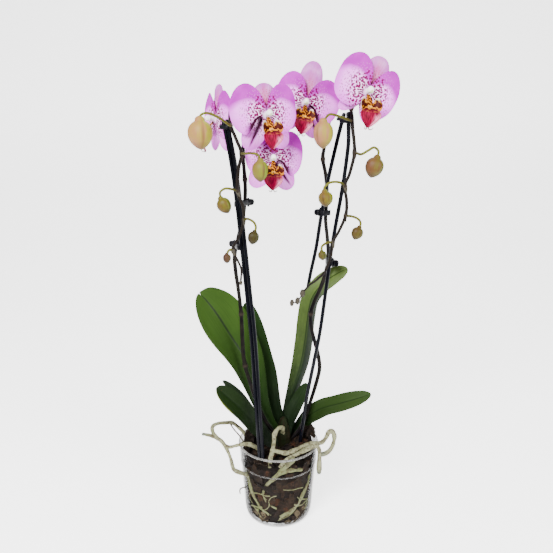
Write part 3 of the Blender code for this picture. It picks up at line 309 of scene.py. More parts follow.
# Roots in the open air: every branch is a route and its two end radii; the branches of one root are one
# piece.
AIR_ROOTS = {
    "roots_left": [
        ([(-28, -13, 108), (-34, -21, 120), (-45, -30, 131), (-60, -38, 134), (-72, -40, 132),
          (-79, -40, 134)], 2.9, 2.7),
        ([(-43, -24, 72), (-51, -28.5, 79), (-62, -34, 87), (-68, -38, 95), (-72, -40, 115),
          (-78, -40, 131), (-86, -40, 143), (-99, -38, 149), (-112, -36, 151)], 3.3, 2.3),
        ([(-90, -39, 145), (-97, -35, 152), (-99, -25, 157), (-92, -15, 157), (-82, -8, 154.5),
          (-71, 0, 150), (-62, 6, 139), (-54, 8, 129), (-49, 8, 116), (-47, 8, 102)], 2.8, 2.5),
        ([(-76, -3, 153), (-68, -8, 143), (-60, -10, 134), (-52, -11, 120), (-49, -11, 104)], 1.0, 1.0),
    ],
    "roots_front": [
        ([(7, 0, 134), (6, -9, 146), (0, -19, 151), (-6, -28, 146), (-7, -34, 136), (-9, -40, 125),
          (-12, -44, 114), (-13, -45, 101)], 3.4, 3.0),
        ([(-9, -40, 127), (1, -45, 127), (13, -45, 125), (29, -38, 128), (44, -32, 132), (57, -28, 131),
          (66, -24, 131), (72.5, -20, 137), (76.5, -16, 143), (82, -13, 142.5), (85.5, -13, 135.5),
          (84, -16, 124), (78.5, -20, 115), (70.5, -25, 112), (63, -28, 112.5)], 3.3, 3.3),
        ([(3, -50, 106), (13, -48, 116), (29, -43, 123), (44, -37, 127.5), (54, -33, 129.5),
          (60, -31, 126), (62, -29.5, 116), (62, -28.5, 104), (62, -27.5, 92), (62, -26, 81)], 2.7, 3.5),
    ],
}
# A thin root tip that pokes out of a small hole low in the pot's side.
ROOT_TIP = ([(-44, -16, 49), (-52, -19, 50.5), (-58, -21, 49.5), (-60, -21.5, 46), (-59.5, -21.5, 41)],
            1.1, 0.8)

# Roots that run between the bark and the clear wall: (degrees round the pot, height) along each, and the
# radius.
INNER_ROOTS = {
    "inner_root_1": ([(-52, 96), (-68, 100), (-82, 99), (-96, 90), (-108, 76), (-116, 60), (-110, 44),
                      (-94, 34)], 3.4),
    "inner_root_2": ([(-22, 84), (-30, 66), (-40, 50), (-54, 36), (-70, 24), (-86, 21)], 2.8),
    "inner_root_3": ([(-146, 60), (-134, 42), (-120, 28), (-104, 22)], 2.6),
}

# Stem clips: the middle, half sizes, turn about Z, and the finger tab's place.
CLIPS = {
    "clip_left_top": dict(at=(-71.8, -3.6, 592), half=(7.5, 5.2, 3.2), turn=-27, tab=(-78, 4, 594)),
    "clip_left_middle": dict(at=(-53, 7, 488), half=(15, 4.4, 4.2), turn=65, tab=(-41, 26, 488)),
    "clip_left_low": dict(at=(-57.5, 3.5, 428), half=(18, 4.4, 4.2), turn=102, tab=(-67, 18, 428)),
    "clip_right_middle": dict(at=(66.5, 27, 472), half=(9.5, 5.2, 4.4), turn=42, tab=(57, 18, 474)),
    "clip_right_low": dict(at=(73.2, 2.5, 405), half=(18.5, 4.8, 4.6), turn=88, tab=(80, -10, 405)),
    "clip_right_top": dict(at=(91.0, -1.1, 600.5), half=(8.2, 4.6, 3.4), turn=-45, tab=(82.5, 6, 603.5)),
}


# ---------------------------------------- curves, bars and blades


def unit(vector):
    """The vector with its length made 1."""
    return vector / np.linalg.norm(vector)


def spin(x=0.0, y=0.0, z=0.0):
    """A turn about Z, then Y, then X, in radians."""
    turn = Matrix.Rotation(x, 3, "X") @ Matrix.Rotation(y, 3, "Y")
    return turn @ Matrix.Rotation(z, 3, "Z")


def quads(rows, columns, closed=False, start=0):
    """The faces of a grid of points, row by row. In a closed grid the last column joins the first."""
    faces = []
    for row in range(rows - 1):
        first = start + row * columns
        for column in range(columns if closed else columns - 1):
            a, b = first + column, first + (column + 1) % columns
            faces.append((a, b, b + columns, a + columns))
    return faces


def clamp(values):
    """The values held between 0 and 1."""
    return np.clip(values, 0, 1)


def bell(values, middle, width):
    """A smooth bump: 1 where the values are at its middle, near 0 two widths away."""
    return np.exp(-(((values - middle) / width) ** 2))


def drawn(rng, *ranges):
    """One random number from each range."""
    return tuple(rng.uniform(*limits) for limits in ranges)


def round_places(count):
    """Even angles round a circle."""
    return 2 * math.pi * np.arange(count) / count


def edge_places(count):
    """Places across a blade from -1 to 1, closer together towards its edges."""
    return np.sin(np.linspace(-1, 1, count) * math.pi / 2)


def both_faces(marks):
    """The marks of a blade's grid, for the one face and then for the other."""
    return {mark: np.tile(np.ravel(values), 2) for mark, values in marks.items()}


def smooth_route(points, places):
    """Points on a smooth curve through the given ones, at a number of even places or at listed shares."""
    points = np.asarray(points, dtype=float)
    ends = np.vstack([2 * points[0] - points[1], points, 2 * points[-1] - points[-2]])
    fine = []
    for a, b, c, d in zip(ends, ends[1:], ends[2:], ends[3:]):
        for t in np.linspace(0, 1, 16, endpoint=False):
            fine.append(0.5 * (2 * b + (c - a) * t + (2 * a - 5 * b + 4 * c - d) * t**2
                               + (3 * b - a - 3 * c + d) * t**3))
    fine.append(points[-1])
    fine = np.array(fine)
    lengths = np.concatenate([[0], np.cumsum(np.linalg.norm(np.diff(fine, axis=0), axis=1))])
    shares = np.array(places) if np.ndim(places) else np.linspace(0, 1, places)
    return np.stack([np.interp(shares * lengths[-1], lengths, fine[:, i]) for i in range(3)], axis=1)


def route_length(route):
    """The length of a route in metres."""
    return float(np.sum(np.linalg.norm(np.diff(route, axis=0), axis=1)))


def share_at_height(points, side, height):
    """How far along a stem, from 0 to 1, its rising or hanging part passes this height."""
    route = smooth_route(points, 400)
    top = int(np.argmax(route[:, 2]))
    part = slice(0, top) if side == "up" else slice(top, len(route))
    nearest = int(np.argmin(np.abs(route[part, 2] - height)))
    return (nearest + (0 if side == "up" else top)) / (len(route) - 1)


def turned_frames(route):
    """The directions along a route at its points, and two across it, turned as little as can be."""
    tangents = np.gradient(route, axis=0)
    tangents /= np.linalg.norm(tangents, axis=1)[:, None]
    start = np.array([0.0, 1.0, 0.0]) if abs(tangents[0][1]) < 0.9 else np.array([1.0, 0.0, 0.0])
    side = np.cross(tangents[0], start)
    across = []
    for tangent in tangents:
        side = side - tangent * np.dot(side, tangent)
        side /= np.linalg.norm(side)
        across.append((side, np.cross(tangent, side)))
    return tangents, across


def bar(route, radii, sides):
    """A closed bar with round ends along a route: its points, its faces, and their shares along and round.

    radii has one value for each point of the route, or one row of values round the bar for each.
    """
    tangents, across = turned_frames(route)
    if radii.ndim == 1:
        radii = np.repeat(radii[:, None], sides, axis=1)
    angles = round_places(sides)
    rings = []
    shares = []
    lengths = np.concatenate([[0], np.cumsum(np.linalg.norm(np.diff(route, axis=0), axis=1))])

    def ring(centre, pair, reach, share):
        u, v = pair
        rings.append(centre + reach[:, None] * (np.cos(angles)[:, None] * u + np.sin(angles)[:, None] * v))
        shares.append(share)

    dome = ((1.0, 0.08), (0.85, 0.53), (0.5, 0.87))
    for out, shrink in dome:
        ring(route[0] - tangents[0] * out * radii[0].mean(), across[0], radii[0] * shrink, 0.0)
    for i in range(len(route)):
        ring(route[i], across[i], radii[i], lengths[i] / lengths[-1])
    for out, shrink in reversed(dome):
        ring(route[-1] + tangents[-1] * out * radii[-1].mean(), across[-1], radii[-1] * shrink, 1.0)
    points = np.concatenate(rings)
    faces = quads(len(rings), sides, closed=True)
    last = (len(rings) - 1) * sides
    faces.append(tuple(range(sides))[::-1])
    faces.append(tuple(range(last, last + sides)))
    return points, faces, np.repeat(shares, sides), np.tile(angles / (2 * math.pi), len(rings))


def blade(middle, thickness):
    """A closed blade round a grid of points: the points of its one face and then the other, and its faces."""
    rows, columns = middle.shape[:2]
    normal = np.cross(np.gradient(middle, axis=0), np.gradient(middle, axis=1))
    normal /= np.maximum(np.linalg.norm(normal, axis=2), 1e-12)[:, :, None]
    half = 0.5 * thickness[:, :, None] * normal
    points = np.concatenate([(middle + half).reshape(-1, 3), (middle - half).reshape(-1, 3)])
    under = rows * columns
    top = quads(rows, columns)
    faces = [(a, d, c, b) for a, b, c, d in top]
    faces += [(under + b, under + c, under + d, under + a) for a, b, c, d in top]
    rim = list(range(columns))
    rim += [r * columns + columns - 1 for r in range(1, rows)]
    rim += [(rows - 1) * columns + c for c in range(columns - 2, -1, -1)]
    rim += [r * columns for r in range(rows - 2, 0, -1)]
    for one, two in zip(rim, rim[1:] + rim[:1]):
        faces.append((one, two, under + two, under + one))
    return points, faces


def egg(centre, radii, turn=None, rings=14, sides=20):
    """A closed egg: its points and faces."""
    points = [(0, 0, 1)]
    for r in range(1, rings):
        lean = math.pi * r / rings
        for angle in round_places(sides):
            out = math.sin(lean)
            points.append((out * math.cos(angle), out * math.sin(angle), math.cos(lean)))
    points.append((0, 0, -1))
    faces = [(0, 1 + i, 1 + (i + 1) % sides) for i in range(sides)]
    faces += [(a, d, c, b) for a, b, c, d in quads(rings - 1, sides, closed=True, start=1)]
    last = 1 + (rings - 2) * sides
    faces += [(last + i, len(points) - 1, last + (i + 1) % sides) for i in range(sides)]
    points = np.array(points) * radii
    if turn is not None:
        points = points @ np.array(turn).T
    return points + centre, faces


def divided(line, step):
    """The same line with points added so that no leg of it is longer than the step."""
    out = [line[0]]
    for (r0, z0), (r1, z1) in zip(line, line[1:]):
        legs = max(1, math.ceil(math.hypot(r1 - r0, z1 - z0) / step))
        out += [(r0 + (r1 - r0) * k / legs, z0 + (z1 - z0) * k / legs) for k in range(1, legs + 1)]
    return out


def turned(profile, sides):
    """A solid turned about Z from a (radius, height) profile with both ends on the axis: points and faces."""
    points = [(0.0, 0.0, profile[0][1])]
    for radius, height in profile[1:-1]:
        for angle in round_places(sides):
            points.append((radius * math.cos(angle), radius * math.sin(angle), height))
    points.append((0.0, 0.0, profile[-1][1]))
    faces = quads(len(profile) - 2, sides, closed=True, start=1)
    last = len(points) - 1 - sides
    for i in range(sides):
        j = (i + 1) % sides
        faces += [(0, 1 + j, 1 + i), (last + i, last + j, len(points) - 1)]
    return np.array(points), faces


def waves(rng, count, size):
    """A smooth wandering function of one number, as a sum of sines with random phases."""
    parts = [(rng.uniform(0.6, 1.4) * k, rng.uniform(0, 2 * math.pi), size / k) for k in range(1, count + 1)]
    return lambda x: sum(amount * np.sin(rate * np.asarray(x) + phase) for rate, phase, amount in parts)


# ---------------------------------------- pieces


class Shape:
    """Points and faces gathered for one piece, with the numbers that its finishes read at each point."""

    def __init__(self):
        self.points = []
        self.faces = []
        self.finishes = []
        self.marks = {}
        self.size = 0

    def add(self, points, faces, finish=0, **marks):
        """Adds a closed part with its finish's place in the piece's list."""
        self.faces += [tuple(i + self.size for i in face) for face in faces]
        self.finishes += [finish] * len(faces)
        for mark, values in marks.items():
            self.marks.setdefault(mark, []).append((self.size, np.broadcast_to(values, len(points))))
        self.points.append(np.asarray(points))
        self.size += len(points)

    def mesh(self, name):
        """A mesh of the shape with its outside facing out."""
        mesh = bpy.data.meshes.new(name)
        mesh.from_pydata(np.concatenate(self.points).tolist(), [], self.faces)
        work = bmesh.new()
        work.from_mesh(mesh)
        bmesh.ops.recalc_face_normals(work, faces=work.faces)
        work.to_mesh(mesh)
        work.free()
        return mesh

    def move(self, matrix):
        """Moves every point gathered so far."""
        matrix = np.array(matrix)
        self.points = [points @ matrix[:3, :3].T + matrix[:3, 3] for points in self.points]


def make_piece(name, shape, finishes, nodes=(), sharp=50):
    """Makes a Blender object of a shape, rides it on the root and lets it stand for its nodes."""
    mesh = shape.mesh(name)
    mesh.polygons.foreach_set("material_index", shape.finishes)
    for mark, parts in shape.marks.items():
        values = np.zeros(shape.size, np.float32)
        for start, part in parts:
            values[start:start + len(part)] = part
        mesh.attributes.new(mark, "FLOAT", "POINT").data.foreach_set("value", values)
    mesh.shade_smooth()
    mesh.set_sharp_from_angle(angle=math.radians(sharp))
    obj = bpy.data.objects.new(name, mesh)
    bpy.context.scene.collection.objects.link(obj)
    for finish in finishes:
        mesh.materials.append(finish.material)
    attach(obj, "root")
    if nodes:
        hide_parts(*nodes)
    return obj


# ---------------------------------------- finishes


class Finish:
    """A material that is put together from nodes, one call at a time."""

    MIX_FACTOR, MIX_ONE, MIX_TWO, MIX_RESULT = 0, 6, 7, 2

    def __init__(self, name, **sockets):
        self.material = bpy.data.materials.new(name)
        self.material.use_nodes = True
        self.tree = self.material.node_tree
        self.shader = self.tree.nodes["Principled BSDF"]
        for socket, value in sockets.items():
            self.plug(self.shader.inputs[socket.replace("_", " ")], value)

    def plug(self, socket, value):
        """Links a socket to another, or sets it."""
        if isinstance(value, bpy.types.NodeSocket):
            self.tree.links.new(value, socket)
        elif hasattr(value, "__len__") and len(value) == 3 and socket.type == "RGBA":
            socket.default_value = (*value, 1.0)
        else:
            socket.default_value = value

    def node(self, kind, inputs, **settings):
        """Adds a node and sets or links its inputs."""
        made = self.tree.nodes.new(kind)
        for key, value in settings.items():
            setattr(made, key, value)
        for key, value in inputs.items():
            self.plug(made.inputs[key], value)
        return made

    def mark(self, name):
        """A number that the piece keeps at each of its points."""
        return self.node("ShaderNodeAttribute", {}, attribute_name=name).outputs["Fac"]

    def place(self):
        """Where the point is, in metres."""
        return self.node("ShaderNodeTexCoord", {}).outputs["Object"]

    def math(self, operation, one, two=0.0):
        """One sum on numbers."""
        return self.node("ShaderNodeMath", {0: one, 1: two}, operation=operation).outputs[0]

    def times(self, one, two):
        """Two numbers multiplied."""
        return self.math("MULTIPLY", one, two)

    def plus(self, one, two):
        """Two numbers added."""
        return self.math("ADD", one, two)

    def stretch(self, value, low, high, start=0.0, end=1.0):
        """Maps low..high to start..end, with no value outside."""
        inputs = {"Value": value, "From Min": low, "From Max": high, "To Min": start, "To Max": end}
        return self.node("ShaderNodeMapRange", inputs, clamp=True).outputs[0]

    def point(self, x, y, z=0.0):
        """A point made of three numbers."""
        return self.node("ShaderNodeCombineXYZ", {0: x, 1: y, 2: z}).outputs[0]

    def spread(self, one, times_one, two, times_two):
        """A flat point made of two numbers, each multiplied."""
        return self.point(self.times(one, times_one), self.times(two, times_two))

    def scaled(self, vector, scale):
        """A vector with each of its numbers multiplied."""
        return self.node("ShaderNodeVectorMath", {0: vector, 1: scale}, operation="MULTIPLY").outputs[0]

    def noise(self, vector, scale, detail=3.0, roughness=0.5):
        """Cloudy noise from 0 to 1."""
        inputs = {"Vector": vector, "Scale": scale, "Detail": detail, "Roughness": roughness}
        return self.node("ShaderNodeTexNoise", inputs).outputs[0]

    def cells(self, vector, scale, randomness=1.0):
        """The distance to the nearest of the scattered points."""
        inputs = {"Vector": vector, "Scale": scale, "Randomness": randomness}
        return self.node("ShaderNodeTexVoronoi", inputs, voronoi_dimensions="2D").outputs["Distance"]

    def blend(self, share, one, two):
        """One colour turning into another."""
        made = self.tree.nodes.new("ShaderNodeMix")
        made.data_type = "RGBA"
        for index, value in ((self.MIX_FACTOR, share), (self.MIX_ONE, one), (self.MIX_TWO, two)):
            self.plug(made.inputs[index], value)
        return made.outputs[self.MIX_RESULT]

    def bump(self, height, strength, distance):
        """Puts a relief on the surface."""
        inputs = {"Height": height, "Strength": strength, "Distance": distance}
        self.plug(self.shader.inputs["Normal"], self.node("ShaderNodeBump", inputs).outputs[0])

    def lay(self, share, colour):
        """Lays a share of a colour over what is there."""
        self.base = self.blend(share, self.base, colour)
        self.plug(self.shader.inputs["Base Color"], self.base)

    def tint(self, value, low, high, colour, start=0.0, end=1.0):
        """Lays a colour over what is there: its start share where the value is low, its end share at high."""
        self.lay(self.stretch(value, low, high, start, end), colour)

    def start(self, value, low, high, one, two):
        """Starts with one colour where the value is low that turns into another where it is high."""
        self.base = one
        self.tint(value, low, high, two)


def clear_plastic():
    """Clear moulded plastic with a grey haze on it, of damp and of painted sheen at its glancing sides,
    running drops and faint rings from its mould.
    """
    finish = Finish("clear_plastic", Roughness=0.24, IOR=1.49, Specular_IOR_Level=0.20)
    place = finish.place()
    cloud = finish.noise(place, 34, 5, 0.6)
    drops = finish.noise(finish.scaled(place, (420, 420, 170)), 1, 4, 0.65)
    rings = finish.noise(finish.scaled(place, (0, 0, 420)), 1, 2)
    haze = finish.times(finish.mark("haze"), finish.stretch(cloud, 0.34, 0.66, 0.7, 1.3))
    film = finish.times(haze, finish.stretch(haze, 0.20, 0.30))
    finish.plug(finish.shader.inputs["Alpha"], finish.math("MINIMUM", film, 0.9))
    finish.bump(finish.plus(drops, finish.times(rings, 0.6)), 0.04, 0.0002)
    finish.start(haze, 0.22, 0.75, (0.032, 0.032, 0.034), (0.21, 0.205, 0.19))
    return finish


def bark_finish(settings):
    """Bark chips in browns from near black to rust, each with its own tone, streaked along its grain."""
    finish = Finish("bark_chips", Roughness=0.9, Specular_IOR_Level=0.08)
    tone = finish.mark("tone")
    streak = finish.noise(finish.scaled(finish.place(), (260, 260, 700)), 1, 5, 0.65)
    patch = finish.noise(finish.place(), 120, 4)
    finish.start(tone, 0.0, 0.8, settings.dark, settings.brown)
    finish.tint(tone, 0.93, 0.96, (0.034, 0.014, 0.007))
    finish.tint(tone, 1.20, 1.30, (0.085, 0.066, 0.040))
    finish.tint(streak, 0.42, 0.72, (0.003, 0.002, 0.002))
    finish.tint(patch, 0.62, 0.8, (0.03, 0.028, 0.02), end=0.3)
    finish.bump(streak, 0.8, 0.0006)
    return finish


def leaf_finish(name, pale, deep, margin, back):
    """A waxy leaf: pale to deep green along it, painted shade down the crease of its midrib, at its base and
    over a shaded half, fine veins and a darker edge.
    """
    finish = Finish(name, Roughness=0.4, Specular_IOR_Level=0.09)
    along = finish.mark("along")
    across = finish.mark("across")
    cloud = finish.noise(finish.place(), 14, 4, 0.55)
    veins = finish.noise(finish.spread(across, 46, along, 3), 1, 3)
    ripples = finish.noise(finish.spread(across, 5, along, 38), 1, 3)
    tone = finish.plus(finish.times(along, 0.75), finish.times(cloud, 0.5))
    finish.start(tone, 0.35, 0.95, deep, pale)
    finish.tint(veins, 0.45, 0.7, deep, end=0.35)
    finish.tint(ripples, 0.5, 0.75, pale, end=0.2)
    # Painted shade down the crease of the midrib.
    finish.tint(finish.math("ABSOLUTE", across), 0.02, 0.07, (0.003, 0.009, 0.002), start=0.85, end=0)
    # Painted shade over the base and over the shaded half.
    finish.lay(finish.mark("shade"), deep)
    finish.lay(finish.mark("edge"), margin)
    finish.lay(finish.times(finish.mark("under"), back), (0.030, 0.050, 0.014))
    finish.bump(finish.plus(finish.times(veins, 0.7), finish.times(ripples, 0.4)), 0.3, 0.0004)
    return finish


def stem_finish():
    """A flower stem: near black with purple-brown mottling, a pale ring at each node and faint ridges."""
    finish = Finish("flower_stem", Roughness=0.5, Specular_IOR_Level=0.06)
    along = finish.mark("along")
    mottle = finish.noise(finish.place(), 90, 5, 0.6)
    ridges = finish.noise(finish.spread(finish.mark("round"), 30, along, 1), 1, 2)
    finish.start(mottle, 0.35, 0.62, (0.010, 0.008, 0.006), (0.003, 0.002, 0.003))
    finish.tint(along, 0.5, 0.75, (0.013, 0.009, 0.007), end=0.5)
    finish.lay(finish.times(finish.mark("ring"), 0.5), (0.05, 0.035, 0.024))
    finish.lay(finish.mark("scale"), (0.03, 0.02, 0.014))
    finish.bump(finish.plus(ridges, mottle), 0.35, 0.0003)
    return finish


def dry_finish():
    """The dry brown of shrivelled tips and scales."""
    finish = Finish("dry_tip", Roughness=0.75)
    cloud = finish.noise(finish.place(), 300, 4)
    finish.bump(cloud, 0.7, 0.0004)
    finish.start(cloud, 0, 1, (0.040, 0.030, 0.012), (0.008, 0.006, 0.004))
    return finish


def stake_finish(settings):
    """Glossy blue-black plastic with long faint drawing marks."""
    finish = Finish("stake_plastic", Roughness=0.3, Specular_IOR_Level=0.10)
    streak = finish.noise(finish.scaled(finish.place(), (900, 900, 6)), 1, 3)
    finish.bump(streak, 0.2, 0.0002)
    finish.start(streak, 0.35, 0.75, settings.colour, (0.003, 0.003, 0.005))
    return finish


def clip_finish():
    """Black moulded plastic with a fine grain and rubbed edges."""
    finish = Finish("clip_plastic", Specular_IOR_Level=0.12)
    worn = finish.noise(finish.place(), 240, 3)
    finish.plug(finish.shader.inputs["Roughness"], finish.stretch(worn, 0.3, 0.7, 0.26, 0.5))
    finish.bump(finish.noise(finish.place(), 1400, 2), 0.3, 0.0001)
    finish.start(worn, 0.6, 0.8, (0.004, 0.004, 0.006), (0.012, 0.012, 0.015))
    return finish


def bud_finish(name, green, flush, tip):
    """A bud: yellow-green with a flush of rose brown, darker seams, long veins and a darker tip."""
    finish = Finish(name, Roughness=0.5, Specular_IOR_Level=0.15)
    drop = finish.mark("drop")
    cloud = finish.noise(finish.place(), 55, 4, 0.55)
    turn = finish.times(finish.mark("round"), 2 * math.pi)
    x, y = (finish.times(finish.math(wave, turn), 3.4) for wave in ("COSINE", "SINE"))
    veins = finish.noise(finish.point(x, y, finish.times(drop, 1.2)), 1, 4, 0.6)
    share = finish.plus(finish.times(cloud, 0.6), finish.times(finish.mark("flush"), 0.7))
    finish.start(share, 0.62, 1.05, green, flush)
    finish.tint(veins, 0.54, 0.62, flush, end=0.7)
    finish.tint(veins, 0.46, 0.36, green, end=0.7)
    finish.tint(drop, 0.70, 1.0, tip, end=0.9)
    finish.lay(finish.times(finish.mark("seam"), 0.9), tip)
    finish.bump(finish.plus(veins, cloud), 0.35, 0.0005)
    return finish


def pedicel_finish():
    """The thin stalk of a bud or bloom: yellow-green, browner near its stem."""
    finish = Finish("pedicel", Roughness=0.5, Specular_IOR_Level=0.10)
    cloud = finish.noise(finish.place(), 120, 4)
    finish.start(cloud, 0.35, 0.7, (0.115, 0.115, 0.012), (0.06, 0.05, 0.009))
    finish.tint(finish.mark("along"), 0.6, 0.95, (0.018, 0.012, 0.007), end=0.85)
    finish.bump(cloud, 0.3, 0.0003)
    return finish


class BloomFinish(Finish):
    """A petal or sepal: white at the hub, its own tone outwards, soft clouds, rays and dots round the hub."""

    def __init__(self, name, settings, outer, deep):
        super().__init__(name, Roughness=0.6, Specular_IOR_Level=0.05)
        self.reach = self.mark("reach")
        self.turn = self.mark("turn")
        self.rim = self.mark("rim")
        self.cloud = self.noise(self.place(), 70, 4)
        rays = self.noise(self.spread(self.turn, 34, self.reach, 2.2), 1, 3)
        self.start(self.reach, 0.10, 0.60, settings.centre, outer)
        self.tint(self.cloud, 0.4, 0.75, settings.centre, end=0.3)
        self.tint(rays, 0.48, 0.70, deep, end=0.35)
        self.bump(self.plus(rays, self.times(self.cloud, 0.4)), 0.35, 0.0004)

    def dots(self, tone, counts, sizes, span):
        """Lays dots in loose rows round the hub, from their size near it to their size at the span's end."""
        near, far = span
        rows = self.spread(self.turn, counts[0], self.reach, counts[1])
        spots = self.cells(rows, 1.0, 0.85)
        inside = self.math("LESS_THAN", spots, self.stretch(self.reach, near, far, *sizes))
        fade_in = self.stretch(self.reach, near - 0.04, near)
        fade_out = self.stretch(self.reach, far - 0.06, far, 1.0, 0.0)
        self.lay(self.times(inside, self.times(fade_out, fade_in)), tone)


def petal_finish(settings):
    """A broad petal: a wide magenta band over its upper part, a lilac rim and crimson spots round the hub."""
    finish = BloomFinish("petal", settings, settings.petal, (0.70, 0.15, 0.72))
    wander = finish.times(finish.math("SUBTRACT", finish.cloud, 0.5), 0.16)
    height = finish.plus(finish.times(finish.rim, 0.35), finish.times(finish.mark("up"), 0.6))
    band = finish.stretch(finish.plus(height, wander), 0.40, 0.60)
    pale = finish.blend(finish.stretch(finish.cloud, 0.35, 0.7), settings.margin, (0.44, 0.015, 0.44))
    finish.tint(finish.rim, 0.60, 1.0, (0.56, 0.05, 0.58), end=0.7)
    finish.lay(band, pale)
    fine = finish.blend(0.6, settings.petal, settings.spots)
    finish.dots(fine, (8, 19), (0.34, 0.16), (0.34, 0.76))
    finish.dots(settings.spots, (5.6, 14.0), (0.52, 0.26), (0.13, 0.56))
    finish.lay(finish.mark("streak"), STREAK_TONE)
    return finish


def upper_sepal_finish(settings):
    """The upper sepal: mauve pink, with a rose stripe and rose dots that start at the hub."""
    finish = BloomFinish("upper_sepal", settings, (0.50, 0.12, 0.50), settings.rose)
    middle = finish.stretch(finish.math("ABSOLUTE", finish.mark("across")), 0.10, 0.55, 1, 0)
    finish.lay(finish.times(middle, finish.stretch(finish.reach, 0.25, 0.95, 0.9, 0)), settings.rose)
    finish.tint(finish.rim, 0.7, 1.0, (0.36, 0.07, 0.36), end=0.5)
    finish.dots(settings.rose, (8, 18), (0.34, 0.16), (0.14, 0.7))
    return finish


def lower_sepal_finish(settings):
    """A lower sepal: lilac with rose veins, dotted near the hub, with a maroon streak where it is marked."""
    finish = BloomFinish("lower_sepal", settings, settings.petal, settings.rose)
    finish.tint(finish.rim, 0.6, 1.0, (0.56, 0.06, 0.58), end=0.5)
    finish.dots(settings.spots, (7, 17), (0.40, 0.16), (0.13, 0.6))
    finish.lay(finish.mark("streak"), STREAK_TONE)
    return finish


def lip_front_finish(settings):
    """The lip's front lobe: crimson veins, a painted pink highlight on one side, below a spotted yellow-brown
    throat.
    """
    finish = Finish("lip_front", Roughness=0.45, Specular_IOR_Level=0.05)
    reach = finish.mark("reach")
    across = finish.mark("across")
    stripes = finish.noise(finish.spread(across, 9, reach, 6), 1, 4)
    blots = finish.cells(finish.spread(across, 1.8, reach, 15), 1.0)
    finish.start(stripes, 0.40, 0.55, (0.07, 0.001, 0.009), settings.lip)
    finish.tint(stripes, 0.55, 0.68, (0.32, 0.004, 0.06), end=0.7)
    # A painted highlight: pink laid over one side of the lobe's outer part.
    side = finish.times(finish.stretch(across, 0.35, 0.75), finish.stretch(reach, 0.60, 0.72))
    pink = finish.blend(finish.stretch(stripes, 0.42, 0.52), (0.36, 0.004, 0.06), (0.80, 0.30, 0.44))
    finish.lay(finish.times(side, 0.8), pink)
    throat = finish.blend(finish.stretch(blots, 0.44, 0.56), (0.035, 0.004, 0.003), (0.50, 0.17, 0.008))
    finish.tint(reach, 0.50, 0.60, throat, start=1, end=0)
    finish.bump(stripes, 0.5, 0.0006)
    return finish


def lip_side_finish():
    """The lip's side lobes: orange-yellow with big dark red-brown blotches, darker towards the throat with
    dark markings and painted shade, white on their backs, with a painted highlight on their tips.
    """
    finish = Finish("lip_side", Roughness=0.45, Specular_IOR_Level=0.06)
    reach = finish.mark("reach")
    blots = finish.cells(finish.spread(finish.mark("across"), 1.3, reach, 3.6), 1.0)
    finish.start(reach, 0.1, 0.9, (0.42, 0.09, 0.004), (0.55, 0.24, 0.014))
    finish.tint(blots, 0.50, 0.60, (0.045, 0.004, 0.003), start=1, end=0)
    # Darker towards the throat: partly dark markings, partly painted shade in the cup.
    finish.tint(reach, 0.15, 0.45, (0.030, 0.004, 0.003), start=0.8, end=0)
    # A painted highlight: near white at the tips.
    finish.tint(reach, 0.86, 0.96, (0.90, 0.80, 0.66), end=0.8)
    finish.lay(finish.times(finish.mark("under"), 0.9), (0.92, 0.78, 0.76))
    finish.bump(blots, 0.3, 0.0005)
    return finish


def callus_finish():
    """The callus between the side lobes: yellow with red dots."""
    finish = Finish("lip_callus", Roughness=0.35)
    finish.base = (0.78, 0.38, 0.02)
    finish.lay(finish.math("LESS_THAN", finish.cells(finish.place(), 900.0), 0.36), (0.16, 0.012, 0.006))
    return finish


def column_finish():
    """The column: white with a faint green hollow under its cap."""
    finish = Finish("column", Roughness=0.45)
    cloud = finish.noise(finish.place(), 260, 3)
    finish.start(cloud, 0.45, 0.75, (0.96, 0.96, 0.92), (0.93, 0.84, 0.90))
    finish.lay(finish.mark("hollow"), (0.45, 0.55, 0.22))
    finish.bump(cloud, 0.2, 0.0002)
    return finish


def root_finish(name, dry, green, share):
    """A root's spongy skin: pale silver, green where it is damp, with fine wrinkles and small scars."""
    finish = Finish(name, Roughness=0.78, Specular_IOR_Level=0.1)
    cloud = finish.noise(finish.place(), 42, 5, 0.6)
    wrinkles = finish.noise(finish.spread(finish.mark("round"), 5, finish.mark("metres"), 1100), 1, 3)
    scars = finish.noise(finish.place(), 330, 3, 0.6)
    patch = finish.noise(finish.place(), 110, 4, 0.6)
    finish.start(cloud, 0.62 - share, 0.95 - share, dry, green)
    finish.tint(patch, 0.50, 0.62, (0.075, 0.068, 0.038), end=0.85)
    finish.tint(scars, 0.53, 0.62, (0.055, 0.035, 0.020), end=0.85)
    finish.tint(wrinkles, 0.50, 0.72, (0.12, 0.11, 0.060), end=0.55)
    finish.lay(finish.mark("tip"), (0.085, 0.095, 0.070))
    finish.bump(finish.plus(wrinkles, scars), 0.8, 0.0008)
    return finish


def crown_finish():
    """The crown: old leaf bases in olive and brown."""
    finish = Finish("crown_sheaths", Roughness=0.7, Specular_IOR_Level=0.05)
    streak = finish.noise(finish.scaled(finish.place(), (160, 160, 30)), 1, 5, 0.6)
    finish.start(streak, 0.4, 0.65, (0.006, 0.010, 0.003), (0.011, 0.007, 0.004))
    finish.bump(streak, 0.6, 0.0005)
    return finish


def stage_finish(settings):
    """A matt pale paper sweep that is lit from behind, so that it stays near white."""
    return Finish("pale_sweep", Roughness=0.9, Base_Color=tuple(settings.floor),
                  Emission_Color=(1.0, 1.0, 1.0), Emission_Strength=settings.glow)


# ---------------------------------------- the pot and what fills it


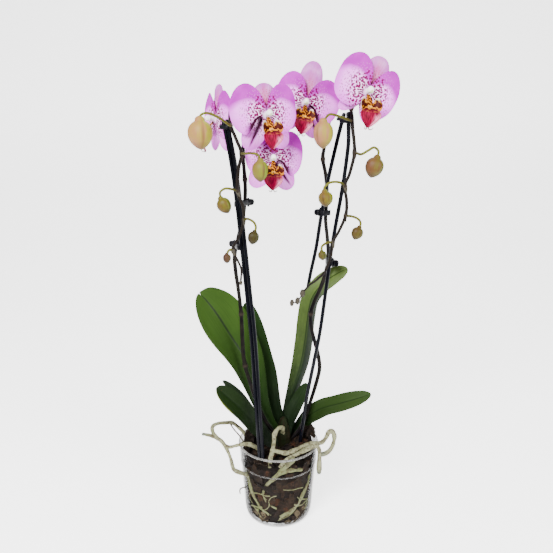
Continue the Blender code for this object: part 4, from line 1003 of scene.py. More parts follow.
def rounded(profile, radius, steps=4):
    """The profile with its corners rounded off where they are sharp."""
    points = [Vector((*p, 0)) for p in profile]
    out = [profile[0]]
    for before, corner, after in zip(points, points[1:], points[2:]):
        into, away = corner - before, after - corner
        cut = min(radius, 0.45 * into.length, 0.45 * away.length)
        if into.angle(away, 0) < 0.2 or cut <= 0:
            out.append((corner.x, corner.y))
            continue
        start = corner - into.normalized() * cut
        end = corner + away.normalized() * cut
        for t in (i / steps for i in range(steps + 1)):
            p = (1 - t) ** 2 * start + 2 * t * (1 - t) * corner + t * t * end
            out.append((p.x, p.y))
    out.append(profile[-1])
    return out


def pot_profile():
    """The pot's outer side from the axis to its rim, and its inner side back to the axis."""
    under_rim = POT_HEIGHT - RIM_DEPTH
    outer = [(0.0, 0.0004), (0.034, 0.0004), (0.036, 0.0), (FOOT_RADIUS, 0.0), *FOOT_CURVE,
             (UNDER_STEP_RADIUS, STEP_HEIGHT - 0.0015), (STEP_RADIUS, STEP_HEIGHT),
             (STEP_RADIUS + 0.0001, STEP_HEIGHT + 0.0016), (STEP_RADIUS + 0.0013, under_rim - 0.0010),
             (STEP_RADIUS + 0.0014, under_rim), (RIM_RADIUS, under_rim + 0.0006),
             (RIM_RADIUS, POT_HEIGHT - 0.0006), (RIM_RADIUS - 0.0008, POT_HEIGHT)]
    inner = [(STEP_RADIUS + 0.0002, POT_HEIGHT), (STEP_RADIUS + 0.0001, under_rim - 0.0010),
             (STEP_RADIUS - POT_WALL, STEP_HEIGHT + 0.0016), (STEP_RADIUS - POT_WALL, STEP_HEIGHT + 0.001),
             (UNDER_STEP_RADIUS - POT_WALL, STEP_HEIGHT - 0.001)]
    inner += [(radius - POT_WALL, height + 0.0002) for radius, height in reversed(FOOT_CURVE[1:])]
    inner += [(FOOT_CURVE[0][0] - 0.002, 0.0026), (FOOT_RADIUS - 0.001, POT_WALL), (0.0, POT_WALL)]
    return outer, inner


def wall_radius(height):
    """The radius of the pot's inner face at a height."""
    radii, heights = zip(*reversed(pot_profile()[1]))
    return float(np.interp(height, heights[1:], radii[1:]))


def wall_route(places, radius):
    """A route along the inside of the wall, from places in degrees round the pot and millimetres of height."""
    route = []
    for degrees, height in places:
        reach = wall_radius(height / 1000) - radius / 1000 - WALL_GAP
        angle = math.radians(degrees)
        route.append((reach * math.cos(angle), reach * math.sin(angle), height / 1000))
    return np.array(route)


def cut_holes(obj, cutters):
    """Cuts round holes through an object along routes: each cutter is (route, radius)."""
    shape = Shape()
    for route, radius in cutters:
        shape.add(*bar(route, np.full(len(route), radius), 16)[:2])
    cutter = bpy.data.objects.new("holes", shape.mesh("holes"))
    bpy.context.scene.collection.objects.link(cutter)
    modifier = obj.modifiers.new("holes", "BOOLEAN")
    modifier.operation = "DIFFERENCE"
    modifier.object = cutter
    modifier.solver = "EXACT"
    cut = bpy.data.meshes.new_from_object(obj.evaluated_get(bpy.context.evaluated_depsgraph_get()))
    obj.modifiers.clear()
    obj.data = cut
    bpy.data.objects.remove(cutter, do_unlink=True)


def make_pot(settings):
    """The clear pot with its rolled rim, its step, its drain holes and the holes that roots have found."""
    outer, inner = pot_profile()
    profile = divided(rounded(outer + inner, CORNER_RADIUS), WALL_STEP)
    points, faces = turned(profile, settings.sides)
    x, y, z = points.T
    # Haze that thickens towards the pot's left and right as the camera sees them: partly damp, partly a
    # painted sheen for its glancing edges.
    sides = (np.abs(x) / np.maximum(np.hypot(x, y), 0.001)) ** 4
    foot = bell(z, 0, 0.012)
    haze = settings.haze * (2.6 * sides**1.5 + 2.0 * foot)
    rim = clamp((z - (POT_HEIGHT - RIM_DEPTH - 0.0006)) / 0.0008)
    step = bell(z, STEP_HEIGHT, 0.0010)
    haze = np.maximum(haze, np.maximum(RIM_HAZE * rim, STEP_HAZE * step))
    shape = Shape()
    shape.add(points, faces, haze=haze)
    pot = make_piece("clear_pot", shape, [clear_plastic()], ["pot"], sharp=30)
    holes = []
    for angle in round_places(DRAIN_HOLES) + math.pi / DRAIN_HOLES:
        x, y = DRAIN_RING * math.cos(angle), DRAIN_RING * math.sin(angle)
        holes.append((np.array([(x, y, -0.004), (x, y, 0.001), (x, y, 0.006)]), DRAIN_RADIUS))
    for route, first, _ in (AIR_ROOTS["roots_left"][1], ROOT_TIP):
        near_wall = smooth_route(metres(route), 40)[:26]
        holes.append((near_wall, first / 1000 + HOLE_GAP))
    cut_holes(pot, holes)


def bark_top(x, y):
    """The height of the bark's surface: low in front, high behind, with heaps at the back."""
    back = min(max((y + 0.030) / 0.060, 0.0), 1.0)
    top = BARK_MIDDLE_TOP + 0.012 * back * (0.6 + 0.4 * min(abs(x) / 0.035, 1.0))
    for hx, hy, width, height in BARK_HEAPS:
        near = math.hypot(x - hx, y - hy) / width
        if near < 1:
            top = max(top, BARK_HEAP_FOOT + height * (1 - near * near) ** 0.5)
    slope = max(0.0, (0.056 - math.hypot(x, y))) * 0.9
    return min(top, BARK_NEAR_WALL + slope + 0.003)


def lump(rng, centre, half, turn, knobbly=0.16):
    """An uneven chip with broken corners: its points and faces."""
    work = bmesh.new()
    bmesh.ops.create_cube(work, size=2.0)
    bmesh.ops.subdivide_edges(work, edges=work.edges, cuts=2, use_grid_fill=True)
    points = []
    for vertex in work.verts:
        p = Vector(vertex.co)
        p = p * (1 - 0.16 * max(0.0, p.length - 1.0))
        p = Vector([(c + rng.uniform(-knobbly, knobbly)) * h for c, h in zip(p, half)])
        points.append(np.array(centre) + np.array(turn @ p))
    work.verts.index_update()
    faces = [tuple(v.index for v in face.verts) for face in work.faces]
    work.free()
    return np.array(points), faces


def pull_in(point, most):
    """Moves a point towards the pot's axis where it is further out than it may be."""
    reach = math.hypot(point[0], point[1])
    if reach > most:
        point[:2] *= most / reach


def make_bark(settings):
    """Bark chips pressed against the pot's wall and piled on top, round a dark filling."""
    rng = random.Random(settings.seed)
    shape = Shape()
    points, faces = turned(BARK_CORE, 72)
    grow = 1 + 0.02 * np.sin(369 * points[:, 0] + 780 * points[:, 2]) * np.cos(333 * points[:, 1])
    points[:, :2] *= grow[:, None]
    shape.add(points, faces, tone=0.05)
    roots = [smooth_route(wall_route(*root), 60) for root in [*INNER_ROOTS.values(), *WALL_ROOTS]]
    roots = np.concatenate(roots)
    for _ in range(settings.wall_chips):
        angle = rng.uniform(0, 2 * math.pi)
        height = 0.005 + 0.097 * rng.random() ** 0.9
        half = drawn(rng, (0.0035, 0.0085), (0.0022, 0.0052), (0.0015, 0.0028))
        reach = wall_radius(height) - CHIP_DEPTH
        centre = (reach * math.cos(angle), reach * math.sin(angle), height)
        if np.min(np.linalg.norm(roots - centre, axis=1)) < CHIP_TO_ROOT:
            continue
        lean = math.pi / 2 + rng.uniform(-0.35, 0.35)
        turn = spin(z=angle) @ spin(y=lean) @ spin(z=rng.uniform(0, math.pi))
        points, faces = lump(rng, centre, half, turn)
        for p in points:
            pull_in(p, wall_radius(min(max(p[2], 0.003), 0.118)) - CHIP_TO_WALL)
            p[2] = max(p[2], CHIP_FLOOR)
        pale = rng.random() < 0.75 - 26 * height
        shape.add(points, faces, tone=PALE_CHIP if pale else rng.random())
    for _ in range(settings.top_chips):
        angle = rng.uniform(0, 2 * math.pi)
        distance = CHIP_SPREAD * math.sqrt(rng.random())
        x, y = distance * math.cos(angle), distance * math.sin(angle)
        half = drawn(rng, (0.004, 0.010), (0.003, 0.006), (0.0016, 0.0034))
        turn = spin(*drawn(rng, (-0.7, 0.7), (-0.7, 0.7), (0, math.pi)))
        points, faces = lump(rng, (x, y, bark_top(x, y) - 0.0015), half, turn)
        for p in points:
            pull_in(p, BARK_TOP_RADIUS)
        shape.add(points, faces, tone=rng.random())
    for x0, y0, z0, spread in BARK_TUFTS:
        for _ in range(TUFT_PIECES):
            half = drawn(rng, (0.0018, 0.0036), (0.0016, 0.0030), (0.005, 0.010))
            turn = spin(*drawn(rng, (-0.6, 0.6), (-0.9, 0.9), (0, math.pi)))
            x, y, z = drawn(rng, (-1, 1), (-1, 1), (-0.010, 0.006))
            points, faces = lump(rng, (x0 + x * spread, y0 + y * spread, z0 + z), half, turn, 0.22)
            shape.add(points, faces, tone=rng.uniform(0, 0.8))
    make_piece("bark_mix", shape, [bark_finish(settings)], ["bark"], sharp=35)


# ---------------------------------------- crown, leaves, stakes and stems


def make_crown():
    """The short stub that everything springs from, wrapped in old leaf bases."""
    shape = Shape()
    rng = random.Random(CROWN_SEED)
    rings, sides = 30, 40
    fine = smooth_route(metres([(8, 8, z) for z in (92, 104, 115, 126, 137, 146, 151)]), rings)
    radii = np.interp(fine[:, 2], [0.092, 0.115, 0.135, 0.151], [0.0105, 0.0115, 0.010, 0.0055])
    folds = 1 + 0.07 * np.cos(5 * round_places(sides))[None, :] * np.linspace(0.2, 1.0, rings)[:, None]
    ridges = 1 + 0.035 * np.sin(fine[:, 2] * 1400)[:, None]
    shape.add(*bar(fine, radii[:, None] * folds * ridges, sides)[:2])
    across = np.linspace(-1, 1, 9)[None, :, None]
    taper = np.linspace(1, 0.35, 10)[:, None, None]
    for i in range(7):
        angle = 2 * math.pi * i / 7 + rng.uniform(-0.2, 0.2)
        out = np.array([math.cos(angle), math.sin(angle), 0.0])
        side = np.array([-out[1], out[0], 0.0])
        base = np.array([0.008, 0.008, 0.100 + 0.003 * i])
        steps = ((0.0098, 0), (0.0118, 0.009), (0.0112, 0.018))
        route = np.array([base + reach * out + (0, 0, rise) for reach, rise in steps])
        spine = smooth_route(route, 10)[:, None, :]
        middle = spine + 0.006 * (across * side - 0.35 * across**2 * out) * taper
        shape.add(*blade(middle, np.full((10, 9), SHEATH_THICKNESS)))
    make_piece("crown_sheaths", shape, [crown_finish()], ["crown"])


def leaf_shape(name, form, settings):
    """One strap leaf with a crease along its midrib, a slight wave and thin edges."""
    rows, columns = 64, 25
    shares = 0.999 * (1 - (1 - np.linspace(0, 1, rows)) ** 1.35)
    spine = smooth_route(metres(form["spine"]), shares)
    widen = clamp(shares / form["belly"])
    widen = widen * widen * (3 - 2 * widen)
    half = form["base"] + (form["half"] - form["base"]) * widen
    past = clamp((shares - form["rounding"]) / (1 - form["rounding"]))
    half = np.maximum(half * np.sqrt(np.maximum(1 - past**2.2, 0)), 0.4) / 1000
    wave = waves(random.Random(name), 3, 0.018)
    base_face, tip_face = np.array(form["face"], dtype=float)
    tangents = np.gradient(spine, axis=0)
    across = edge_places(columns)
    middle = np.zeros((rows, columns, 3))
    for r, share in enumerate(shares):
        face = base_face + (tip_face - base_face) * min(1.0, 1.6 * share)
        side = unit(np.cross(tangents[r], face))
        up = unit(np.cross(side, tangents[r]))
        ahead = unit(tangents[r])
        for c, v in enumerate(across):
            crease = form["fold"] * abs(v) ** 1.4 + 0.035 * (1 - bell(v, 0, 0.10))
            edge = wave(6 * share + 2 * v) * abs(v) ** 2
            dip = -form.get("notch", 0.0) / 1000 * bell(v, 0.08, 0.16)
            dip = dip * max(0.0, share - 0.9) / 0.1
            middle[r, c] = spine[r] + half[r] * (v * side + (crease + edge) * up) + dip * ahead
    thick = settings.thickness * (0.22 + 0.78 * (1 - np.abs(across) ** 2.2))
    points, faces = blade(middle, thick[None, :] * (1 - 0.45 * shares[:, None]))
    along = np.repeat(shares, columns)
    across = np.tile(across, rows)
    normal = np.cross(np.gradient(middle, axis=0), np.gradient(middle, axis=1)).mean(axis=(0, 1))
    under = np.repeat([0.0, 1.0], rows * columns)
    if np.dot(normal, tip_face) <= 0:
        under = 1 - under
    side, start = LEAF_EDGES.get(name, (0, 0.92))
    edge = clamp((np.abs(across) - 0.86) / 0.1) * clamp((along - start) / 0.06)
    if side:
        edge = edge * (across * side > 0)
    # Painted shade: each base darkens towards the crown, and on a leaf that is given a share for it, one half
    # darkens up to that share.
    shade = 0.85 * clamp((form.get("shade", BASE_SHADE) - along) / 0.4)
    if "shaded_half_end" in form:
        painted_half_shade = clamp(3 * across + 0.3) * clamp((form["shaded_half_end"] - along) / 0.08)
        shade = np.maximum(shade, 0.95 * painted_half_shade)
    shape = Shape()
    marks = {"along": along, "across": across, "edge": edge, "shade": shade}
    shape.add(points, faces, under=under, **both_faces(marks))
    return shape


# Each leaf's greens: where it is pale, where it is deep and along its margin, and how pale its back is.
# These greens are partly the leaves' own and partly painted shade: leaf_2, leaf_3, leaf_5 and leaf_7, which
# stand under or behind others, get far darker greens for the shade they stand in.
LEAF_GREENS_AND_SHADE = {
    "leaf_1": ((0.028, 0.060, 0.009), (0.007, 0.019, 0.003), (0.010, 0.024, 0.005), 0.4),
    "leaf_2": ((0.0110, 0.027, 0.0055), (0.0025, 0.007, 0.0016), (0.004, 0.010, 0.003), 0.3),
    "leaf_3": ((0.0060, 0.0150, 0.0022), (0.0015, 0.005, 0.0008), (0.15, 0.19, 0.020), 0.3),
    "leaf_4": ((0.075, 0.115, 0.026), (0.005, 0.011, 0.004), (0.06, 0.09, 0.03), 0.6),
    "leaf_5": ((0.0080, 0.018, 0.0045), (0.002, 0.006, 0.0015), (0.005, 0.012, 0.003), 0.3),
    "leaf_6": ((0.022, 0.042, 0.009), (0.005, 0.013, 0.003), (0.004, 0.005, 0.003), 0.4),
    "leaf_7": ((0.0050, 0.012, 0.0025), (0.0015, 0.004, 0.001), (0.003, 0.006, 0.002), 0.3),
}
# Where a leaf's margin starts to show: on one side of its midrib (-1 or 1) or on both (0), and from which
# share of its length.
LEAF_EDGES = {"leaf_3": (-1, 0.70), "leaf_6": (0, 0.95)}


def make_leaves(settings):
    """All the leaves, each with its own greens, some of them darkened as painted shade."""
    for name, form in LEAVES.items():
        finish = leaf_finish(name + "_green", *LEAF_GREENS_AND_SHADE[name])
        shape = leaf_shape(name, form, settings)
        make_piece(name + "_blade", shape, [finish], [name], sharp=70)


def make_stakes(settings):
    """The four thin stakes."""
    finish = stake_finish(settings)
    for name, points in STAKES.items():
        shape = Shape()
        shape.add(*bar(smooth_route(metres(points), 60), np.full(60, STAKE_RADIUS), 20)[:2])
        make_piece(name + "_rod", shape, [finish], [name])


def make_stems():
    """Both flower stems, with swollen nodes, a papery scale at each and shrivelled buds at the ends."""
    finishes = [stem_finish(), dry_finish()]
    for name, listed in STEMS.items():
        rng = random.Random(name)
        nodes = [share_at_height(metres(listed), side, height / 1000) for side, height in STEM_NODES[name]]
        places = set(np.linspace(0, 1, 260))
        for node in nodes:
            places |= set(clamp(np.linspace(node - 0.012, node + 0.012, 15)))
        places = np.array(sorted(places))
        route = smooth_route(metres(listed), places)
        sizes = (RISING_RADIUS, 0.95 * RISING_RADIUS, HANGING_RADIUS, 0.85 * HANGING_RADIUS, STEM_TIP_RADIUS)
        radii = np.interp(places, (0, 0.45, 0.55, 0.85, 1.0), sizes)
        near = np.max([bell(places, node, 0.0040) for node in nodes], axis=0)
        radii = radii * (1 + 0.38 * near + waves(rng, 5, 0.03)(places * 40))
        ridged = radii[:, None] * (1 + 0.035 * np.cos(6 * round_places(18) + 9 * places[:, None]))
        points, faces, along, around = bar(route, ridged, 18)
        ring = np.interp(along, places, clamp(near * 1.5 - 0.75))
        shape = Shape()
        shape.add(points, faces, along=along, round=around, ring=ring)
        for node in nodes:
            shape.add(*scale_leaf(route, places, node), 1 if node > 0.8 else 0, along=node, scale=0.6)
        for place, radius in TIP_BUDS[name]:
            turn = spin(z=rng.uniform(0, 3)) @ spin(x=rng.uniform(-0.4, 0.4))
            r = 1.25 * radius / 1000
            points, faces = egg(metres(place), (0.85 * r, 0.8 * r, 1.3 * r), turn)
            points = points + np.array([[rng.uniform(-1, 1) * 0.07 * r for _ in range(3)] for _ in points])
            shape.add(points, faces, 1)
        if name in TIP_TWIGS:
            twig = smooth_route(metres(TIP_TWIGS[name]), 24)
            shape.add(*bar(twig, np.linspace(0.0012, 0.0008, 24), 10)[:2], 1)
        make_piece(name + "_skin", shape, finishes, [name], sharp=60)


def scale_leaf(route, places, node):
    """The small pointed papery scale that wraps one side of a node."""
    start, later = (np.array([np.interp(share, places, route[:, i]) for i in range(3)])
                    for share in (node, min(node + 0.012, 1)))
    ahead = unit(later - start)
    out = unit(np.cross(ahead, (0.3, 0.2, 0.9)))
    side = np.cross(ahead, out)
    middle = np.zeros((9, 7, 3))
    for r, reach in enumerate(np.linspace(-0.001, 0.0085, 9)):
        width = 0.0030 * math.sqrt(max(0.02, 1 - ((reach + 0.001) / 0.0096) ** 2))
        lift = 0.0022 + 0.12 * max(reach, 0) + 9 * max(reach, 0) ** 2
        for c, v in enumerate(np.linspace(-1, 1, 7)):
            middle[r, c] = start + reach * ahead + (lift - 0.0011 * v * v) * out + width * v * side
    return blade(middle, np.full((9, 7), SCALE_THICKNESS))


# ---------------------------------------- clips


def jaw(route, half_height, thickness):
    """A strip bent along a flat route, standing upright: its points and faces."""
    across = np.linspace(-1, 1, 5)
    middle = route[:, None, :] + half_height * across[None, :, None] * UP
    return blade(middle, np.tile(thickness * (1 - 0.35 * across**4), (len(route), 1)))


def make_clips():
    """Small spring clips that hold stems to stakes: a loop round both, a hinge and two finger wings."""
    finish = clip_finish()
    angles = np.linspace(0, 2 * math.pi, 44)[1:-1]
    level = np.zeros(len(angles))
    x, y = np.cos(angles), np.sin(angles)
    squared = np.stack([np.sign(x) * np.abs(x) ** 0.55, np.sign(y) * np.abs(y) ** 0.55, level], axis=1)
    for name, form in CLIPS.items():
        half = metres(form["half"])
        wing = 1.0 if half[2] > LARGE_CLIP else 0.55
        shape = Shape()
        shape.add(*jaw(squared * half, 0.85 * wing**0.5 * half[2], 0.0016))
        for z in (-0.55, 0.55):
            band = np.stack([0.93 * half[0] * x, 0.80 * half[1] * y, level + z * half[2]], axis=1)
            shape.add(*jaw(band, 0.22 * half[2], 0.0026))
        for place in (-0.33, 0.33):
            rib = np.array([(place * half[0], end * half[1], 0) for end in (-0.9, 0, 0.9)])
            shape.add(*jaw(smooth_route(rib, 7), 0.6 * half[2], 0.0013))
        at = metres(form["at"])
        shape.move(Matrix.Translation(at) @ spin(z=math.radians(form["turn"])).to_4x4())
        tab = metres(form["tab"])
        out = unit((tab - at) * (1, 1, 0))
        side = np.array([-out[1], out[0], 0.0])
        root = 0.45 * tab + 0.55 * at
        handle = np.array([root - 0.001 * out, 0.5 * (root + tab), tab - 0.002 * out])
        shape.add(*bar(handle, np.array([0.0024, 0.0026, 0.0024]), 14)[:2])
        for hand in (-1, 1):
            tip = tab + wing * (0.0034 * hand * side + 0.0045 * out)
            spine = np.array([tab - 0.006 * out, tab + 0.0010 * hand * side - 0.001 * out, tip])
            spine = smooth_route(spine, 12)
            widths = wing * 0.0046 * np.sqrt(np.clip(1 - np.linspace(-0.72, 0.985, 12) ** 4, 0.03, 1))
            middle = spine[:, None, :] + widths[:, None, None] * edge_places(9)[None, :, None] * UP
            shape.add(*blade(middle, np.full((12, 9), WING_THICKNESS)))
            for k in (-1, 0, 1):
                grip = spine[6:10] + 0.0022 * wing * k * UP + 0.0009 * hand * side
                shape.add(*bar(grip, np.full(4, 0.00045), 8)[:2])
        barrel = np.array([tab - 0.0052 * out + wing * z * UP for z in (-0.0048, 0, 0.0048)])
        shape.add(*bar(barrel, np.full(3, 0.0019), 14)[:2])
        make_piece(name + "_body", shape, [finish], [name], sharp=45)


# ---------------------------------------- buds

# Each bud's green, flush and tip colours.
BUD_TONES = {
    "left_bud_1": ((0.28, 0.26, 0.016), (0.30, 0.13, 0.060), (0.11, 0.045, 0.016)),
    "left_bud_2": ((0.15, 0.19, 0.009), (0.14, 0.09, 0.020), (0.06, 0.024, 0.010)),
    "left_bud_3": ((0.10, 0.115, 0.008), (0.085, 0.045, 0.010), (0.026, 0.014, 0.005)),
    "left_bud_4": ((0.038, 0.038, 0.005), (0.026, 0.016, 0.005), (0.012, 0.008, 0.004)),
    "left_bud_5": ((0.060, 0.038, 0.014), (0.05, 0.02, 0.011), (0.02, 0.011, 0.007)),
    "right_bud_1": ((0.27, 0.24, 0.020), (0.30, 0.12, 0.070), (0.11, 0.055, 0.020)),
    "right_bud_2": ((0.10, 0.095, 0.012), (0.095, 0.040, 0.015), (0.04, 0.02, 0.008)),
    "right_bud_3": ((0.13, 0.135, 0.009), (0.10, 0.05, 0.011), (0.028, 0.017, 0.005)),
    "right_bud_4": ((0.070, 0.066, 0.008), (0.055, 0.028, 0.008), (0.02, 0.012, 0.005)),
    "right_bud_5": ((0.065, 0.080, 0.008), (0.055, 0.036, 0.008), (0.02, 0.014, 0.005)),
}


def make_buds():
    """The ten buds, each an egg of folded sepals with three seams, on its curved pedicel."""
    stalk = pedicel_finish()
    rings, sides, third = 40, 48, 2 * math.pi / 3
    shares = 0.5 - 0.5 * np.cos(np.linspace(0.06, 1, rings) * math.pi)
    above = clamp((0.44 - shares) / 0.48)
    below = clamp((shares - 0.44) / 0.56)
    smooth = np.maximum((1 - above**2.6) ** 0.6 * (1 - below**2.0) ** 0.72, 0.03)
    swell = np.sin(math.pi * shares)[:, None]
    drop_marks = np.concatenate([np.zeros(3 * sides), np.repeat(shares, sides), np.ones(3 * sides)])
    for name, (route, tip, radius) in BUDS.items():
        route, tip = metres(route), metres(tip)
        top = route[-1]
        drop = unit(tip - top)
        length = np.linalg.norm(tip - top) + 0.002
        spine = top - 0.002 * drop + length * (0.06 + 0.93 * shares[:, None]) * drop
        angles = round_places(sides) - random.Random(name).uniform(0, 2)
        crease = bell((angles + third / 2) % third, third / 2, 0.09)
        middle_seam = bell(angles % third, 0, 0.05)
        lobes = 1 + 0.045 * np.cos(3 * angles) * swell**0.5 - 0.05 * crease * swell**0.6
        points, faces, _, around = bar(spine, radius / 1000 * smooth[:, None] * lobes, sides)
        seam = np.tile(clamp(crease + 0.45 * middle_seam), len(points) // sides)
        seam = seam * np.sin(math.pi * np.clip(drop_marks, 0.05, 1))
        flush = 0.5 + 0.5 * np.cos(2 * math.pi * around - 2.4)
        shape = Shape()
        shape.add(points, faces, drop=drop_marks, round=around, seam=seam, flush=flush)
        along = np.linspace(0, 1, 60)
        radii = PEDICEL_RADIUS * (1 - 0.15 * along) * (1 + 0.25 * bell(along, 0.97, 0.03))
        points, faces, along, around = bar(smooth_route(route, 60), radii, 14)
        shape.add(points, faces, 1, along=1 - along, round=around)
        finishes = [bud_finish(name + "_skin", *BUD_TONES[name]), stalk]
        make_piece(name + "_sepals", shape, finishes, [name], sharp=70)


# ---------------------------------------- blooms


def bloom_matrix(form, roll):
    """Places a bloom that is modelled facing -Y with its hub at the origin."""
    turn = spin(z=math.radians(form["turn"])) @ spin(y=math.radians(roll))
    return Matrix.Translation(metres(form["hub"])) @ turn.to_4x4() @ Matrix.Scale(form["size"], 4)


def add_oval(shape, finish, rng, length, half, lift, layer, bend, angle, mirror=False, ruffle=1.0, cut=0.0,
             streak=0.0):
    """Adds one petal or sepal: an oval blade from the hub, gently waved, with its marks for the finish.

    A cut above 0 takes away the lower inner corner of a petal, and a streak above 0 marks a dark one.
    """
    steps, columns = 44, 30
    share = np.linspace(0.07, 0.994, steps)[:, None]
    x = length / 2 * (1 - np.cos(math.pi * share))
    centre = lift * np.sin(np.minimum(1.0, x / (0.6 * length)) * math.pi / 2)
    v = edge_places(columns)[None, :]
    x = np.repeat(x, columns, axis=1)
    lower = 1 - cut * bell(x, 9, 11) * (v < 0)
    z = centre + half * np.sin(math.pi * share) ** 0.9 * v * lower
    rim = np.sqrt(((x - length / 2) / (length / 2)) ** 2 + ((z - centre) / half) ** 2)
    rim = np.maximum(rim, np.abs(v) ** 3 * 0.98)
    polar = np.arctan2(z - lift, x - length / 2)
    edge = 0.9 * np.sin(3 * polar + rng.uniform(0, 6)) + 0.5 * np.sin(5 * polar + rng.uniform(0, 6))
    groove = 0.5 * bell(z, centre, 2.2) * np.exp(-x / (0.7 * length))
    y = layer + bend * (x**2 + z**2) + ruffle * rim**3 * edge + groove
    marks = {"reach": np.sqrt(x**2 + z**2) / 50, "turn": np.arctan2(z, x) + 3.0, "rim": rim,
             "across": np.repeat(v, steps, axis=0)}
    taper = np.clip(4.6 - x / 12, 0.7, 4.0)
    dark = streak * clamp(1.5 - np.abs(z + 1.5 - 0.1 * x) / taper) * clamp((47 - x) / 8)
    if cut:
        dark = clamp(-6.5 * v - 3.6) * clamp((x - 4) / 3) * clamp((30 - x) / 8)
    marks["streak"] = dark
    if mirror:
        x = -x
    turn = np.radians(angle)
    flat_x = x * math.cos(turn) + z * math.sin(turn)
    flat_z = -x * math.sin(turn) + z * math.cos(turn)
    marks["up"] = flat_z / 30
    thin = PETAL_THICKNESS * (1 - 0.72 * clamp(rim) ** 3)
    middle = np.stack([flat_x, y, flat_z], axis=2) / 1000
    shape.add(*blade(middle, thin), finish, **both_faces(marks))


# Where a bloom's lower sepal shows beside its lip: on the viewer's left (-1) or right (1), or on neither (0).
OPEN_SIDES = {"bloom_1": -1, "bloom_2": 1, "bloom_3": 1, "bloom_4": 0, "bloom_5": 0}


def make_petals(name, form, finishes):
    """Two broad petals in front of three sepals, the hub behind them and the pedicel back to the stem."""
    rng = random.Random(name)
    shape = Shape()
    for side, length in zip((-1, 1), form["petals"]):
        add_oval(shape, 0, rng, length, PETAL_HALF, PETAL_LIFT, PETAL_LAYER, PETAL_BEND, 0, mirror=side < 0,
                 cut=0.74 if side == OPEN_SIDES[name] else 0.0)
    add_oval(shape, 1, rng, form["dorsal"], DORSAL_HALF, 0, DORSAL_LAYER, SEPAL_BEND, -90, ruffle=0.6)
    for (angle, layer), (length, half), side in zip(LOW_SEPALS, form.get("sepals", SEPAL_SIZES), (1, -1)):
        add_oval(shape, 2, rng, length, half, 0, layer, SEPAL_BEND, angle, ruffle=0.6,
                 streak=1.0 if side == OPEN_SIDES[name] else 0.0)
    hub = smooth_route(metres([(0, y, 0) for y in (-4.3, -2, 1, 4, 6.3)]), 14)
    radii = np.interp(np.linspace(0, 1, 14), [0, 0.25, 0.6, 1], [0.0022, 0.0050, 0.0052, 0.0026])
    shape.add(*bar(hub, radii, 24)[:2], reach=0.1)
    shape.move(bloom_matrix(form, form["roll"]))
    route = smooth_route(metres([form["hub"], *form["pedicel"]]), 60)
    points, faces, along, around = bar(route, np.linspace(0.0023, PEDICEL_RADIUS, 60), 14)
    shape.add(points, faces, 3, along=along, round=around)
    make_piece(name + "_flower", shape, finishes, [name + "_petals"], sharp=75)


def strip(centres, halves, side, cup, thickness, steps, columns):
    """A curved blade with its centre line and half widths smoothed: its points and faces, and its marks."""
    centres = np.asarray(centres, dtype=float)
    fine = smooth_route(centres, steps)
    lengths = np.concatenate([[0], np.cumsum(np.linalg.norm(np.diff(centres, axis=0), axis=1))])
    shares = np.linspace(0, 1, steps)
    widths = smooth_route(np.stack([lengths / lengths[-1], halves, np.zeros(len(halves))], axis=1), 200)
    half = np.interp(shares, widths[:, 0], widths[:, 1])[:, None, None]
    side = unit(np.asarray(side, dtype=float))
    up = np.cross(side, np.gradient(fine, axis=0))
    up /= np.linalg.norm(up, axis=1)[:, None]
    across = edge_places(columns)
    v = across[None, :, None]
    middle = fine[:, None, :] + half * (v * side + cup * v * v * up[:, None, :])
    thick = np.tile(thickness * (1 - 0.5 * np.abs(across) ** 3), (steps, 1))
    marks = {"reach": np.repeat(shares, columns), "across": np.tile(across, steps)}
    return *blade(middle / 1000, thick), both_faces(marks)


def make_lip(name, form, finishes):
    """The lip: a claw that widens into a front lobe with two tendrils, two cupped ears and a callus."""
    shape = Shape()
    points, faces, marks = strip(LIP_LOBE, LIP_LOBE_HALVES, (1, 0, 0), -0.28, LOBE_THICKNESS, 44, 25)
    shape.add(points, faces, **marks)
    for hand in (-1, 1):
        ear, tendril = (np.array(route) * (hand, 1, 1) for route in (LIP_EAR, LIP_TENDRIL))
        side = (0.8 * hand, -0.6, -0.2)
        points, faces, marks = strip(ear, LIP_EAR_HALVES, side, -0.25, EAR_THICKNESS, 28, 17)
        under = np.repeat([1.0, 0.0] if hand > 0 else [0.0, 1.0], len(points) // 2)
        shape.add(points, faces, 1, under=under, **marks)
        shape.add(*egg((hand * 0.0016, -0.0165, -0.0185), (0.0021, 0.0028, 0.0024)), 2)
        tendril = bar(smooth_route(metres(tendril), 20), np.linspace(0.0007, 0.0003, 20), 10)
        shape.add(*tendril[:2], reach=0.95, across=0.3)
    shape.move(bloom_matrix(form, form["lip_roll"]))
    make_piece(name + "_lip_lobes", shape, finishes, [name + "_lip"], sharp=75)


def make_column(name, form, finish):
    """The column: a short rod with a hooded cap at its end and the hollow under it."""
    route = metres([(0, -5.0, 1.6), (0, -8, 2.2), (0, -11, 2.2), (0, -14.2, 1.2), (0, -15.8, -0.6)])
    shares = np.linspace(0, 1, 30)
    radii = np.interp(shares, [0, 0.35, 0.62, 0.85, 1.0], [0.0029, 0.0031, 0.0043, 0.0041, 0.0024])
    wings = 1 + 0.14 * np.cos(2 * round_places(28)) * bell(shares, 0.75, 0.25)[:, None]
    points, faces, _, _ = bar(smooth_route(route, 30), radii[:, None] * wings, 28)
    x, y, z = 1000 * points.T
    hollow = np.where((z < -0.10 * (y + 8)) & (y < -9) & (np.abs(x) < 2.6), 1.0, 0.0)
    points[:, 2] += 0.0012 * hollow
    shape = Shape()
    shape.add(points, faces, hollow=0.8 * hollow)
    shape.add(*egg((0, -0.0150, 0.0012), (0.0034, 0.0030, 0.0026), spin(x=0.6)), hollow=0.0)
    shape.move(bloom_matrix(form, form["lip_roll"]))
    make_piece(name + "_column_cap", shape, [finish], [name + "_column"], sharp=80)


# ---------------------------------------- roots


